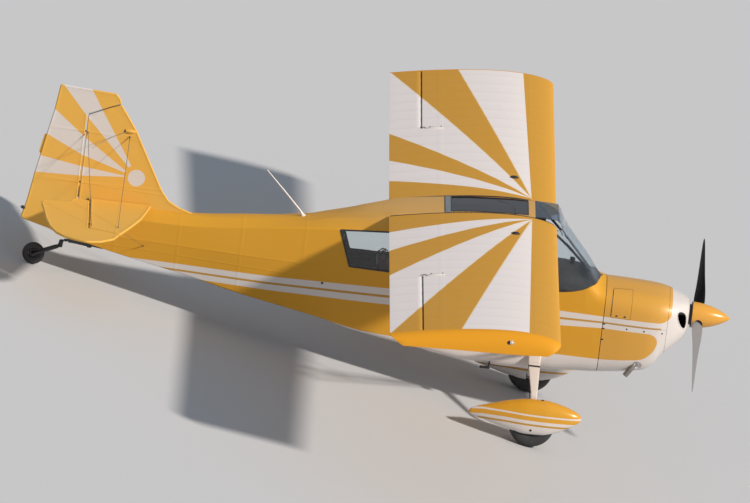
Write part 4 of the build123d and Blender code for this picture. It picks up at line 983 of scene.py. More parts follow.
def hull_cloth():
    paint = doped("hull_fabric", YELLOW)
    colour = hull_colours(paint)
    x, z = paint.x, paint.z
    frames = 1 - (x + 2.59).off_lines(0.61).soft(0.010, 0.016)
    aft = x < -3.50
    strings = (1 - abs(z - STRINGER_Z).soft(0.004, 0.010)) | (
        1 - abs(z + 0.06 + x * 0.02).soft(0.004, 0.010)
    )
    paint.relief((frames * 0.0007 + strings * 0.0010) * aft)
    # Painted reflection: the top of the fuselage behind the windshield is drawn paler, towards tan, for the
    # sky's sheen on it.
    roof = z.soft(0.50, 0.78) * (x < -1.60) * 0.45
    colour = paint.mix(roof, colour, SKY_SHEEN_TAN)
    streak = paint.noise(6, 5, (0.25, 1, 1)).soft(0.52, 0.85) * 0.16 * (z < 0.0)
    colour = paint.mix(streak, colour, (0.25, 0.19, 0.12))
    paint.colour(paint.mix(paint.noise(1.1, 4) * 0.07, colour, (0.50, 0.42, 0.30)))
    return paint.done()


def wing_room(side):
    """The wing's root section, a little swollen, for cutting what meets it."""
    rings = []
    stops = chord_stops(0, 1, 24)
    section = [(c, True) for c in reversed(stops)] + [(c, False) for c in stops[1:]]
    for y in (ROOT_SIDE_Y, 0.60):
        ring = []
        for c, up in section:
            half = half_thickness(c) * CHORD + 0.003
            base = camber(c) * CHORD
            ring.append(wing_spot(c - 0.002 + 0.004 * c, side * y, base + (half if up else -half)))
        rings.append(ring)
    return Shape().loft(rings)


def fuselage(paints, lining, glass, dark_glass, frame_paint):
    skin = hull_solid(FIREWALL_X - SEAM, STERNPOST_X).mesh("fuselage_skin")
    made = new_object("fuselage_skin", skin, (paints, lining))
    carve(made, hull_solid(-0.880, -3.530, SKIN, 0.060, 1))
    for points, radius, low, high in (
        (WINDSHIELD_SIDE, 0.02, *BOTH), (DOOR_WINDOW, 0.045, *LEFT), (REAR_WINDOW, 0.015, *BOTH)
    ):
        carve(made, prism(outline(points, radius), low, high))
    carve(made, prism(outline(DOOR, 0.06, 0.003), *RIGHT))
    carve(made, prism(SKYLIGHT, 0.68, 1.0, "z"))
    finish_piece(made, "airframe", (paints, lining), ("cabin_shell", "rear_fuselage"))

    wind = hull_patch("windshield_glass", WINDSHIELD_SIDE, [BOTH], 0.02, 0.0, 0.004, table=GLASS_HULL)
    for side in (1, -1):
        low, high = sorted((side * ROOT_SIDE_Y, side * 0.6))
        carve(wind, prism([(-1.36, 0.785), (-1.36, 1.1), (-1.9, 1.1), (-1.9, 0.785)], low, high))
        carve(wind, wing_room(side))
    finish_piece(wind, "airframe", glass, ("windshield",))
    roof = hull_patch("skylight_glass", SKYLIGHT, [], 0, 0.0, 0.005, top=True)
    finish_piece(roof, "airframe", dark_glass, ("skylight",))
    for name, points, sides, radius, body, nodes in (
        ("side_glass", REAR_WINDOW, [RIGHT, LEFT], 0.015, "airframe", ("side_windows",)),
        ("left_front_glass", DOOR_WINDOW, [LEFT], 0.045, "airframe", ()),
        ("door_glass", DOOR_WINDOW, [RIGHT], 0.045, "door", ("door_window",)),
    ):
        pane = hull_patch(name, points, sides, radius, -0.002, 0.004)
        finish_piece(pane, body, glass, nodes)
    for name, points, sides, radius, wide, body in (
        ("rear_window_frames", REAR_WINDOW, [RIGHT, LEFT], 0.018, 0.016, "airframe"),
        ("left_front_window_frame", DOOR_WINDOW, [LEFT], 0.05, 0.018, "airframe"),
        ("door_window_frame", DOOR_WINDOW, [RIGHT], 0.05, 0.018, "door"),
    ):
        rim = hull_patch(name, points, sides, radius, 0.003, 0.010, wide)
        finish_piece(rim, body, frame_paint)

    door = hull_patch("door_skin", DOOR, [RIGHT], 0.05, 0.0, 0.024)
    carve(door, prism(outline(DOOR_WINDOW, 0.045), *RIGHT))
    finish_piece(door, "door", (paints, lining), ("cabin_door",))


# ---- cowling and engine

# x, half width, lowest, highest, lower corner radius, upper corner radius
COWL = smooth_table([
    (-0.030, 0.150, -0.118, 0.124, 0.130, 0.115),
    (-0.040, 0.190, -0.152, 0.144, 0.150, 0.130),
    (-0.062, 0.238, -0.198, 0.164, 0.170, 0.155),
    (-0.105, 0.292, -0.240, 0.186, 0.190, 0.175),
    (-0.148, 0.326, -0.280, 0.202, 0.200, 0.190),
    (-0.192, 0.353, -0.318, 0.218, 0.210, 0.205),
    (-0.263, 0.384, -0.383, 0.240, 0.210, 0.220),
    (-0.300, 0.395, -0.432, 0.247, 0.205, 0.226),
    (-0.327, 0.401, -0.475, 0.251, 0.200, 0.230),
    (-0.423, 0.410, -0.543, 0.261, 0.200, 0.240),
    (-0.588, 0.406, -0.578, 0.272, 0.200, 0.250),
    (-0.857, 0.385, -0.617, 0.283, 0.190, 0.250),
])
BOWL_END_X = -0.235
# the middle of the round hollow ahead of the exhaust, and the way into it
EXHAUST_DIMPLE = (-0.480, -0.429, -0.489), (0, 0.88, 0.474)
COWL_SPLIT_Z = -0.083
COWL_FRONT_X = -0.030
COWL_SKIN = 0.006
PANEL_GAP = 0.0012
OIL_DOOR = [(-0.790, -0.015), (-0.790, 0.237), (-0.600, 0.237), (-0.600, -0.015)]
INLET = (0.262, 0.002)


def cowl_ring(x, inset=0.0):
    half, low, high, low_r, high_r = COWL(x)
    low, high, half = low + inset, high - inset, half - inset
    right = [(0, low), (half, low + 0.008), (half, high - 0.26 * (high - 0.014)), (0, high)]
    left = [(-y, z) for y, z in right[2:0:-1]]
    radii = [0.5, low_r, high_r, 0.5, high_r, low_r]
    return rounded([(x, y, z) for y, z in right + left], radii, 9)


def cowl_solid(start, end, inset=0.0, slot=0):
    stops, x = [start], start
    while x > end + 0.03:
        x -= 0.008 if x > -0.06 else (0.015 if x > -0.35 else 0.04)
        stops.append(x)
    return Shape().loft([cowl_ring(x, inset) for x in stops + [end]], slot)


def bowl_profile(radius):
    """Half a ball's outline, for a lathe."""
    return [(radius * math.sin(a), radius * math.cos(a)) for a in steps(-math.pi / 2, math.pi / 2, 24)]


def inlet_outline(side, size=1.0):
    """A tall inlet beside the spinner, leaning outward at its top."""
    y, z = INLET
    return [(0.0, side * (y + size * (0.050 * c + 0.022 * s)), z + size * 0.088 * s) for c, s in circle(40)]


def cowling(paint, inside):
    def skin(name, shape=None, cuts=()):
        solid = cowl_solid(COWL_FRONT_X, FIREWALL_X + SEAM / 2)
        made = new_object(name, solid.mesh(name), (paint, inside))
        carve(made, cowl_solid(COWL_FRONT_X - 0.008, -0.90, COWL_SKIN, 1))
        carve(made, shape, "INTERSECT")
        for cut in cuts:
            carve(made, cut)
        return made

    holes = [Shape().turned([(-0.2, 0.112), (0.1, 0.112)], (0, 0, 0), AHEAD)]
    for side in (1, -1):
        ring = inlet_outline(side)
        holes.append(Shape().loft([[(x, y, z) for _, y, z in ring] for x in (-0.2, 0.1)]))
    front = Shape().block((BOWL_END_X + PANEL_GAP, -0.6, -0.8), (0.2, 0.6, 0.5))
    above = Shape().block((-0.9, -0.6, COWL_SPLIT_Z + PANEL_GAP), (BOWL_END_X - PANEL_GAP, 0.6, 0.5))
    below = Shape().block((-0.9, -0.6, -0.8), (BOWL_END_X - PANEL_GAP, 0.6, COWL_SPLIT_Z - PANEL_GAP))
    hatch_hole = prism(outline(OIL_DOOR, 0.012, PANEL_GAP), -0.6, -0.1)
    hatch = prism(outline(OIL_DOOR, 0.012, -PANEL_GAP), -0.6, -0.1)
    dimple = Shape().lathe(bowl_profile(0.0725), *EXHAUST_DIMPLE, 36)
    vent = Shape().turned([(-0.03, 0.030), (0.2, 0.030)], (-0.522, -0.375, -0.490), (-0.54, 0, -0.84))
    pieces = (
        ("nose_bowl_skin", front, holes, "nose_bowl_paint", "nose_bowl"),
        ("upper_cowl_skin", above, [hatch_hole], "cowl_paint", "upper_cowl"),
        ("lower_cowl_skin", below, [dimple, vent], "cowl_paint", "lower_cowl"),
        ("oil_door_skin", hatch, [], "cowl_paint", "oil_door"),
    )
    for name, shape, cuts, slot, node in pieces:
        finish_piece(skin(name, shape, cuts), "airframe", (paint, inside), (node,))
    lips = Shape()
    for side in (1, -1):
        ring = inlet_outline(side, 1.02)
        path = [(nose_x(abs(y), z) - 0.003, y, z) for _, y, z in ring]
        lips.loft(tube_rings(path + path[:2], 0.006, 8)[:-1], 0, caps=False)
    lips.piece("inlet_lips", "airframe", "nose_bowl_paint", paint)


def nose_x(y, z):
    """Where the bowl's front surface stands, ahead of a point beside the propeller's axis."""
    spot = Vector((y, z))
    for x in steps(COWL_FRONT_X, -0.30, 180):
        ring = [Vector(point[1:]) for point in cowl_ring(x)]
        turns = (
            cross_2d(b - a, spot - a) for a, b in zip(ring, ring[1:] + ring[:1]) if (b - a).length > 1e-6
        )
        if all(turn > 0 for turn in turns):
            return x
    return -0.30


def cross_2d(a, b):
    return a.x * b.y - a.y * b.x


def engine(block, fins, pipe_metal):
    """A flat four: crankcase, finned cylinders, mount tubes and shaft."""
    shape = Shape()
    shape.block((-0.70, -0.17, -0.18), (-0.34, 0.17, 0.08), 0, 0.03)
    shape.tube([(-0.34, 0, 0), (-0.26, 0, 0), (-0.02, 0, 0)], [0.11, 0.045, 0.036], 24)
    shape.tube([(-0.02, 0, 0), (0.045, 0, 0)], 0.019, 20)
    for side in (1, -1):
        for x, z in ((-0.42, -0.035), (-0.58, -0.035)):
            profile = [(0.16, 0.0), (0.16, 0.055)]
            for k in range(14):
                along = 0.175 + 0.011 * k
                profile += [(along, 0.055), (along, 0.074), (along + 0.003, 0.074), (along + 0.003, 0.055)]
            profile += [(0.335, 0.06), (0.335, 0.0)]
            shape.lathe(profile, (x, 0, z), (0, side, 0), 28, 1)
        for z in (-0.15, 0.06):
            shape.tube([(-0.68, side * 0.15, z), (FIREWALL_X + 0.004, side * 0.19, z)], 0.011, 12)
    shape.piece("engine", "airframe", "engine_metal", (block, fins), ("engine_block",))
    stack = Shape()
    path = [
        (-0.50, -0.18, -0.16), (-0.496, -0.245, -0.28), (-0.495, -0.315, -0.38), (-0.503, -0.356, -0.442),
        (-0.522, -0.374, -0.490), (-0.552, -0.377, -0.536), (-0.583, -0.377, -0.583)
    ]
    stack.pipe(path, 0.027, 0.024, 28)
    stack.lathe(
        [(-0.012, 0.027), (-0.012, 0.034), (0.012, 0.034), (0.012, 0.027)], (-0.496, -0.280, -0.33),
        (0, -0.57, -0.82), 28
    )
    stack.piece("exhaust_pipe", "airframe", "exhaust_metal", pipe_metal, ("exhaust_stack",))


def skin_spot(ring_at, x, z, side):
    """A point of the skin at x and height z on one side, and the direction out of it."""

    def cross(x, z):
        ring = [Vector(point) for point in ring_at(x)]
        best = None
        for a, b in zip(ring, ring[1:] + ring[:1]):
            if (a.z - z) * (b.z - z) <= 0 and abs(a.z - b.z) > 1e-7 and side * (a.y + b.y) > 0:
                point = a.lerp(b, (z - a.z) / (b.z - a.z))
                if best is None or side * point.y > side * best.y:
                    best = point
        return best

    here = cross(x, z)
    along = cross(x + 0.01, z) - cross(x - 0.01, z)
    up = cross(x, z + 0.006) - cross(x, z - 0.006)
    out = along.cross(up).normalized()
    return here, out if out.y * side > 0 else -out


def rivets(shape, spots, radius=0.005, height=0.0015, slot=0):
    """Low domed heads on the skin: spots are (point, outward direction) pairs."""
    for point, out in spots:
        profile = [
            (-0.002, 0), (-0.002, radius), (0.0, radius), (0.6 * height, 0.8 * radius),
            (height, 0.35 * radius), (height, 0)
        ]
        shape.lathe(profile, point, out, 12, slot)
    return shape


# ---- propeller

SPINNER_R, SPINNER_LENGTH = 0.127, 0.379
BLADE_X = 0.065
BLADE_TURNS = [Matrix.Rotation(math.radians(turn), 4, "X") for turn in (-53, 127)]
SPINNER_WALL = 0.004
BLADE = smooth_table([
    (0.040, 0.078, 0.062),
    (0.150, 0.128, 0.034),
    (0.300, 0.152, 0.020),
    (0.517, 0.142, 0.014),
    (0.743, 0.112, 0.010),
    (0.884, 0.068, 0.007),
    (0.925, 0.036, 0.005),
    (0.939, 0.008, 0.003),
])


def blade_rings(turn):
    rings = []
    for radius in steps(0.045, 0.80, 22) + steps(0.82, 0.938, 12):
        chord, thick = BLADE(radius)
        angle = math.atan(1.4 / (math.tau * max(radius, 0.15)))
        across = Vector((math.sin(angle), -math.cos(angle), 0))
        out = Vector((math.cos(angle), math.sin(angle), 0))
        ring = []
        for u, v in circle(28):
            front = 0.5 * thick * v * (1.15 if v > 0 else 0.85) * (1 + 0.35 * u * min(1, radius / 0.2))
            ring.append(turn @ (Vector((BLADE_X, 0, radius)) + across * 0.5 * chord * u + out * front))
        rings.append(ring)
    return rings


def propeller(spinner_paint, dark, front, back, steel):
    profile = [(0.0, 0.0), (0.0, SPINNER_R - SPINNER_WALL), (0.0, SPINNER_R)]
    for t in steps(0.01, 0.992, 40):
        profile.append((t * SPINNER_LENGTH, SPINNER_R * (1 - t * t) ** 0.85))
    profile.append((SPINNER_LENGTH, 0.0))
    nose = Shape().lathe(profile, (0, 0, 0), AHEAD, 72)
    made = nose.piece("spinner_shell", "propeller", "spinner_paint", (spinner_paint, dark), ("spinner",))
    hollow = [(0.002, 0.0), (0.002, SPINNER_R - SPINNER_WALL)]
    hollow += [(x - 0.006, max(0.0, r - SPINNER_WALL)) for x, r in profile[3:-1]]
    hollow += [(SPINNER_LENGTH - 0.03, 0.0)]
    carve(made, Shape().lathe(hollow, (0, 0, 0), AHEAD, 72, 1))
    for turn in BLADE_TURNS:
        hole = [(BLADE_X + 0.050 * c, 0.062 * s) for c, s in circle(32)]
        rings = [[turn @ Vector((x, y, z)) for x, y in hole] for z in (0.03, 0.25)]
        carve(made, Shape().loft(rings, 1))
    shade(made.data)
    plate = Shape().turned(
        [
            (-0.024, 0.098), (-0.022, 0.100), (-0.007, 0.100), (-0.006, 0.120), (0.0, 0.1275),
            (0.004, 0.1275)
        ],
        (0, 0, 0), AHEAD, 64
    )
    rim = []
    for k in range(12):
        turn = Matrix.Rotation(math.tau * (k + 0.5) / 12, 4, "X")
        rim.append((turn @ Vector((0.012, 0, SPINNER_R - 0.0006)), turn @ Vector((0.05, 0, 1))))
    rivets(plate, rim, 0.0035, 0.0012)
    plate.piece("spinner_plate", "propeller", "dark_steel", steel)

    blades = Shape()
    for turn in BLADE_TURNS:
        blades.loft(blade_rings(turn), [0] * 14 + [1] * 14)
    blades.turned([(0.005, 0.056), (0.022, 0.058), (0.108, 0.058), (0.112, 0.05)], (0, 0, 0), AHEAD, 40, 2)
    blades.piece("blades_and_hub", "propeller", "blade_paint", (front, back, steel), ("propeller_blades",))


# ---- tail

FIN = [
    (-6.035, 0.060), (-6.035, 1.296), (-5.831, 1.391), (-5.722, 1.433), (-5.700, 1.405), (-5.550, 1.194),
    (-5.395, 0.910), (-5.240, 0.630), (-5.160, 0.530), (-5.060, 0.478), (-4.962, 0.446), (-4.700, 0.380),
    (-4.700, 0.300), (-5.900, 0.100)
]
RUDDER = [
    (-6.046, 0.058), (-6.137, 0.058), (-6.188, 0.072), (-6.282, 0.118), (-6.573, 0.194), (-6.555, 0.270),
    (-6.531, 0.371), (-6.486, 0.666), (-6.415, 1.061), (-6.366, 1.318), (-6.335, 1.570), (-5.785, 1.538),
    (-5.744, 1.493), (-5.722, 1.441), (-5.831, 1.397), (-6.046, 1.304)
]
STABILIZER = [
    (-5.915, 0.018), (-5.330, 0.018), (-5.330, 0.060), (-5.372, 0.310), (-5.420, 0.560), (-5.505, 0.850),
    (-5.615, 1.185), (-5.915, 1.078)
]
ELEVATOR = [
    (-5.926, 0.075), (-6.080, 0.075), (-6.130, 0.235), (-6.392, 0.250), (-6.388, 0.400), (-6.370, 0.560),
    (-6.340, 0.910), (-6.300, 1.160), (-6.240, 1.350), (-6.160, 1.460), (-6.050, 1.525), (-5.935, 1.575),
    (-5.800, 1.520), (-5.670, 1.370), (-5.620, 1.200), (-5.926, 1.090)
]
STABILIZER_Z = 0.455
# The same yellow paint as the rest, drawn lighter and paler on the tail: painted light, for the bright
# sunlit look of its surfaces.
SUNLIT_TAIL_YELLOW = (0.740, 0.415, 0.070)
RIM = [
    (0, 0), (0.0012, 0.005), (0.004, 0.0095), (0.008, 0.0120), (0.013, 0.0120), (0.019, 0.0104),
    (0.024, 0.0100)
]
RAYS = [
    [(-5.564, 0.840), (-5.888, 1.337), (-6.055, 1.293), (-5.585, 0.818)],
    [(-5.888, 1.337), (-6.054, 1.600), (-6.330, 1.600), (-6.055, 1.293)],
    [(-5.604, 0.777), (-6.055, 1.080), (-6.055, 0.896), (-5.626, 0.765)],
    [(-6.055, 1.080), (-6.380, 1.333), (-6.440, 1.076), (-6.055, 0.896)],
    [(-5.621, 0.733), (-6.055, 0.779), (-6.055, 0.682), (-5.621, 0.721)],
    [(-6.055, 0.779), (-6.500, 0.848), (-6.520, 0.670), (-6.055, 0.682)],
]
DISC = (-5.501, 0.722, 0.083)


def inside_polygon(u, v, points):
    """1 inside a convex outline."""
    area = sum(a[0] * b[1] - b[0] * a[1] for a, b in zip(points, points[1:] + points[:1]))
    sign = 1 if area > 0 else -1
    mask = None
    for (ax, ay), (bx, by) in zip(points, points[1:] + points[:1]):
        side = ((v - ay) * (sign * (bx - ax)) - (u - ax) * (sign * (by - ay))) > 0.0
        mask = side if mask is None else mask & side
    return mask


def tail_cloth(name, rays=False, tubes=()):
    """Painted fabric over the tail's steel tubes: tubes are (end, end) lines under it."""
    # The tail's base yellow is the lighter copy of the yellow paint: painted light.
    paint = doped(name, SUNLIT_TAIL_YELLOW)
    u, v = (paint.x, paint.z) if rays else (paint.x, abs(paint.y))
    for (ax, ay), (bx, by) in tubes:
        length = math.hypot(bx - ax, by - ay)
        off = abs(((v - ay) * (bx - ax) - (u - ax) * (by - ay)) / length)
        paint.relief((1 - off.soft(0.004, 0.014)) * 0.0010)
    colour = SUNLIT_TAIL_YELLOW
    if rays:
        white = ((u - DISC[0]) ** 2 + (v - DISC[1]) ** 2) < DISC[2] ** 2
        for points in RAYS:
            white = white | inside_polygon(u, v, points)
        colour = paint.mix(white, SUNLIT_TAIL_YELLOW, WHITE)
    faded = paint.mix(paint.noise(1.2, 4) * 0.08, colour, (0.50, 0.42, 0.30))
    paint.colour(paint.mix(paint.noise(26, 6) * 0.07, faded, (0.30, 0.21, 0.10)))
    return paint.done()


def corner_radii(points, wide, radius):
    """One radius at each listed corner and a small one everywhere else."""
    return [radius if i in wide else 0.022 for i in range(len(points))]


def plate(points, radii, turn, lift=RIM):
    flat = rounded([(x, y, 0) for x, y in points], radii, 5)
    tidy = [flat[0]]
    for point in flat[1:]:
        if (Vector(point) - Vector(tidy[-1])).length > 0.0015:
            tidy.append(point)
    return Shape().pillow(tidy, lift, turn)


def upright(p, h):
    return (p.x, h, p.y)


def tail(fin_paint, flat_paint, steel, dark, lamp, wire):
    thick = [(a, b * 1.25) for a, b in RIM]
    shape = plate(FIN, corner_radii(FIN, (4, 5, 6, 7, 8, 9, 10), 0.12), upright, thick)
    shape.piece("fin_skin", "airframe", "yellow_fabric", fin_paint, ("fin",))
    shape = plate(RUDDER, corner_radii(RUDDER, (3, 4, 5, 7, 8, 9, 12), 0.05), upright)
    tab = [
        (-6.440, 0.858), (-6.467, 0.866), (-6.463, 0.905), (-6.438, 1.030), (-6.431, 1.060), (-6.410, 1.055)
    ]
    flat = rounded([(x, y, 0) for x, y in tab], [0, 0.035, 0.04, 0.04, 0.03, 0], 6)
    shape.pillow(flat, [(0, 0.0008), (0.001, 0.0012)], upright)
    shape.piece("rudder_skin", "rudder_assembly", "yellow_fabric", fin_paint, ("rudder",))

    for side, name in SIDES:

        def level(p, h):
            return (p.x, side * p.y, STABILIZER_Z + h)

        shape = plate(STABILIZER, corner_radii(STABILIZER, (3, 4, 5), 0.3), level, thick)
        shape.piece(
            f"{name}_stabilizer_skin", "airframe", "yellow_fabric", flat_paint, (f"{name}_stabilizer",)
        )
        shape = plate(ELEVATOR, corner_radii(ELEVATOR, (3, 4, 5, 6, 7, 8, 9, 10, 11, 12, 13), 0.09), level)
        shape.piece(
            f"{name}_elevator_skin", "elevator_assembly", "yellow_fabric", flat_paint, (f"{name}_elevator",)
        )
    tube = Shape().tube(
        [(ELEVATOR_AXIS.x, -0.085, STABILIZER_Z), (ELEVATOR_AXIS.x, 0.085, STABILIZER_Z)], 0.012, 20
    )
    tube.block(
        (ELEVATOR_AXIS.x - 0.05, -0.004, STABILIZER_Z - 0.07),
        (ELEVATOR_AXIS.x + 0.012, 0.004, STABILIZER_Z + 0.012), 0, 0.002
    )
    tube.piece("elevator_tube", "elevator_assembly", "dark_steel", steel, ("elevator_torque_tube",))

    hinges = Shape()
    pins = [((RUDDER_AXIS.x, 0, z), UP) for z in (0.180, 0.620, 1.130)]
    pins += [((ELEVATOR_AXIS.x, y, STABILIZER_Z), ASIDE) for y in (0.200, 0.900, -0.200, -0.900)]
    for spot, axis in pins:
        spot, half = Vector(spot), 0.03 * Vector(axis)
        hinges.lathe([(-0.006, 0.004), (-0.006, 0.009), (0.006, 0.009), (0.006, 0.004)], spot, axis, 16)
        hinges.tube([spot - half, spot + half], 0.0038, 10)
        hinges.block(spot + Vector((0.007, -0.006, -0.006)), spot + Vector((0.035, 0.006, 0.006)), 0, 0.001)
    hinges.piece("tail_hinges", "airframe", "dark_steel", steel)
    # A dark bar along the gap between the fin's top and the rudder's horn: painted shade, so the gap reads
    # dark instead of letting the floor show through.
    gap_shade = Shape().tube([(-5.735, 0, 1.4295), (-5.831, 0, 1.3920), (-6.030, 0, 1.3000)], 0.0045, 10)
    gap_shade.piece("horn_gap_seal", "airframe", "dark_steel", dark)

    wires = Shape()
    for x_fin, x_stab, y_stab, x_low, z_low in (
        (-6.020, -5.895, 1.020, -5.890, 0.070), (-5.610, -5.640, 0.990, -5.354, 0.080)
    ):
        for side in (1, -1):
            out = Vector((x_stab, side * y_stab, STABILIZER_Z))
            for end in (
                Vector((x_fin, side * 0.012, 1.130)),
                Vector((x_low, side * HULL(x_low)[STRINGER_Y] * 0.9, z_low))
            ):
                path = [end.lerp(out, t) for t in steps(0, 1, 6)]
                wires.loft(tube_rings(path, 0.0024, 8, 0.5, AHEAD))
                for a, b in ((end, out), (out, end)):
                    ahead = (b - a).normalized()
                    wires.loft(
                        tube_rings([a, a + ahead * 0.03, a + ahead * 0.06], [0.0060, 0.0050, 0.0026], 8)
                    )
                    wires.turned([(-0.006, 0.006), (0.006, 0.006)], a + ahead * 0.008, AHEAD, 6)
    wires.piece("brace_wires", "airframe", "dark_steel", wire, ("tail_brace_wires",))

    light = Shape().turned(
        [(-0.022, 0.012), (-0.012, 0.016), (0.008, 0.017), (0.02, 0.014)], (-6.553, 0, 0.300),
        (-0.97, 0, 0.16), 20
    )
    light.lathe(
        [(0.018, 0), (0.018, 0.011), (0.026, 0.009), (0.031, 0.004), (0.032, 0)], (-6.553, 0, 0.300),
        (-0.97, 0, 0.16), 20, 1
    )
    light.piece("tail_light", "rudder_assembly", "clear_glazing", (dark, lamp))


# ---- landing gear

PANT_NOSE, PANT_TAIL = (-0.972, -0.904), (-2.064, -0.954)
PANT_TOP, PANT_BOTTOM = -0.763, -1.112
PANT_HALF = 0.122
# share of the length from the nose, width, height above the middle line, depth below it
PANT = smooth_table([
    (0.000, 0.03, 0.03, 0.02),
    (0.008, 0.17, 0.15, 0.12),
    (0.030, 0.36, 0.30, 0.25),
    (0.100, 0.63, 0.54, 0.50),
    (0.220, 0.86, 0.81, 0.82),
    (0.340, 0.98, 0.97, 0.99),
    (0.480, 1.00, 1.00, 0.96),
    (0.640, 0.86, 0.87, 0.74),
    (0.820, 0.54, 0.58, 0.42),
    (0.950, 0.22, 0.34, 0.18),
    (0.990, 0.11, 0.20, 0.08),
    (1.000, 0.03, 0.03, 0.03),
])
LEG_KNEE_Y = 0.866


def pant_middle(share):
    return PANT_NOSE[1] + share * (PANT_TAIL[1] - PANT_NOSE[1])


def pant_ring(share, side, inset=0.0):
    wide, up, down = PANT(share)
    x, z = lerp(PANT_NOSE[0], PANT_TAIL[0], share), pant_middle(share)
    middle = (PANT_NOSE[1] + PANT_TAIL[1]) / 2
    half = max(0.001, wide * PANT_HALF - inset)
    ring = []
    for c, s in circle(40):
        power = 0.88 if s > 0 else 0.88 - 0.32 * wide
        y = half * math.copysign(abs(c) ** power, c)
        height = (PANT_TOP - middle) * up if s > 0 else (middle - PANT_BOTTOM) * down
        height = max(0.001, height - inset)
        ring.append((x, side * (AXLE.y + y), z + height * math.copysign(abs(s) ** power, s)))
    return ring


def tyre_profile(radius, width, rim, grooves):
    """Half sections of a tyre, from bead to bead over the tread."""
    half = width / 2
    points = [
        (-0.30 * width, rim + 0.002), (-0.38 * width, rim + 0.010),
        (-0.47 * width, lerp(rim, radius, 0.30)), (-half, lerp(rim, radius, 0.52)),
        (-0.485 * width, lerp(rim, radius, 0.70)), (-0.43 * width, lerp(rim, radius, 0.86))
    ]
    tread = []
    for t in steps(-0.36, 0.36, 48):
        crown = radius - (radius - rim) * 0.10 * (abs(t) / 0.40) ** 2.2
        groove = any(abs(t - g) < 0.014 for g in grooves)
        tread.append((t * width, crown - (0.006 if groove else 0)))
    return points + tread + [(-a, r) for a, r in reversed(points)]


def wheel(name, body, centre, radius, width, rim, bore, paints, nodes, grooves):
    centre = Vector(centre)
    tyre = Shape().lathe(tyre_profile(radius, width, rim, grooves), centre, ASIDE, 96)
    tyre.piece(f"{name}_rubber", body, "tyre_rubber", paints[0], (nodes[0],))
    half = 0.34 * width
    hub = Shape()
    profile = [
        (-half, rim - 0.001), (-half, 0.88 * rim), (-half + 0.008, 0.84 * rim), (-0.10 * width, 0.74 * rim),
        (-0.09 * width, 0.45 * rim), (-0.20 * width, 0.34 * rim), (-half, 0.30 * rim), (-half, bore)
    ]
    full = profile + [(-a, r) for a, r in reversed(profile)]
    hub.lathe(full, centre, ASIDE, 64)
    for side in (1, -1):
        spots = [Vector((0.6 * rim * c, side * 0.093 * width, 0.6 * rim * s)) for c, s in circle(6)]
        rivets(hub, [(centre + spot, (0, side, 0)) for spot in spots], 0.07 * rim, 0.06 * rim)
    hub.piece(f"{name}_wheel", body, "wheel_metal", paints[1], (nodes[1],))


def pant_paint():
    """Yellow over white, with a thin cream stripe from the nose to the tail and a gold line."""
    paint = enamel("pant_paint", YELLOW)
    share = (paint.x - PANT_NOSE[0]) / (PANT_TAIL[0] - PANT_NOSE[0])
    middle = share * (PANT_TAIL[1] - PANT_NOSE[1]) + PANT_NOSE[1]
    stripe = share.curve([(0, 0), (0.19, 0.017), (0.44, 0.035), (0.68, 0.055), (0.87, 0.060), (1, 0.045)])
    up = paint.z - middle - stripe
    cream = up.between(-0.008, 0.008)
    white = up < -0.052
    gold = up.between(-0.104, -0.084)
    colour = paint.mix(cream | white, YELLOW, WHITE)
    colour = paint.mix(gold, colour, GOLD)
    paint.colour(paint.mix(paint.noise(30, 5) * 0.08, colour, (0.25, 0.19, 0.12)))
    return paint.done()


def leg_ring(middle, half, thick, radius, side, across=(0.455, 0.891), count=5):
    """The leg's rounded section: half its width along X, and half its thickness along across."""
    x, y, z = middle
    corners = [(-half, -thick, 0), (half, -thick, 0), (half, thick, 0), (-half, thick, 0)]
    flat = rounded(corners, [radius] * 4, count)
    return [(x + u, side * (y + across[0] * v), z + across[1] * v) for u, v, _ in flat]


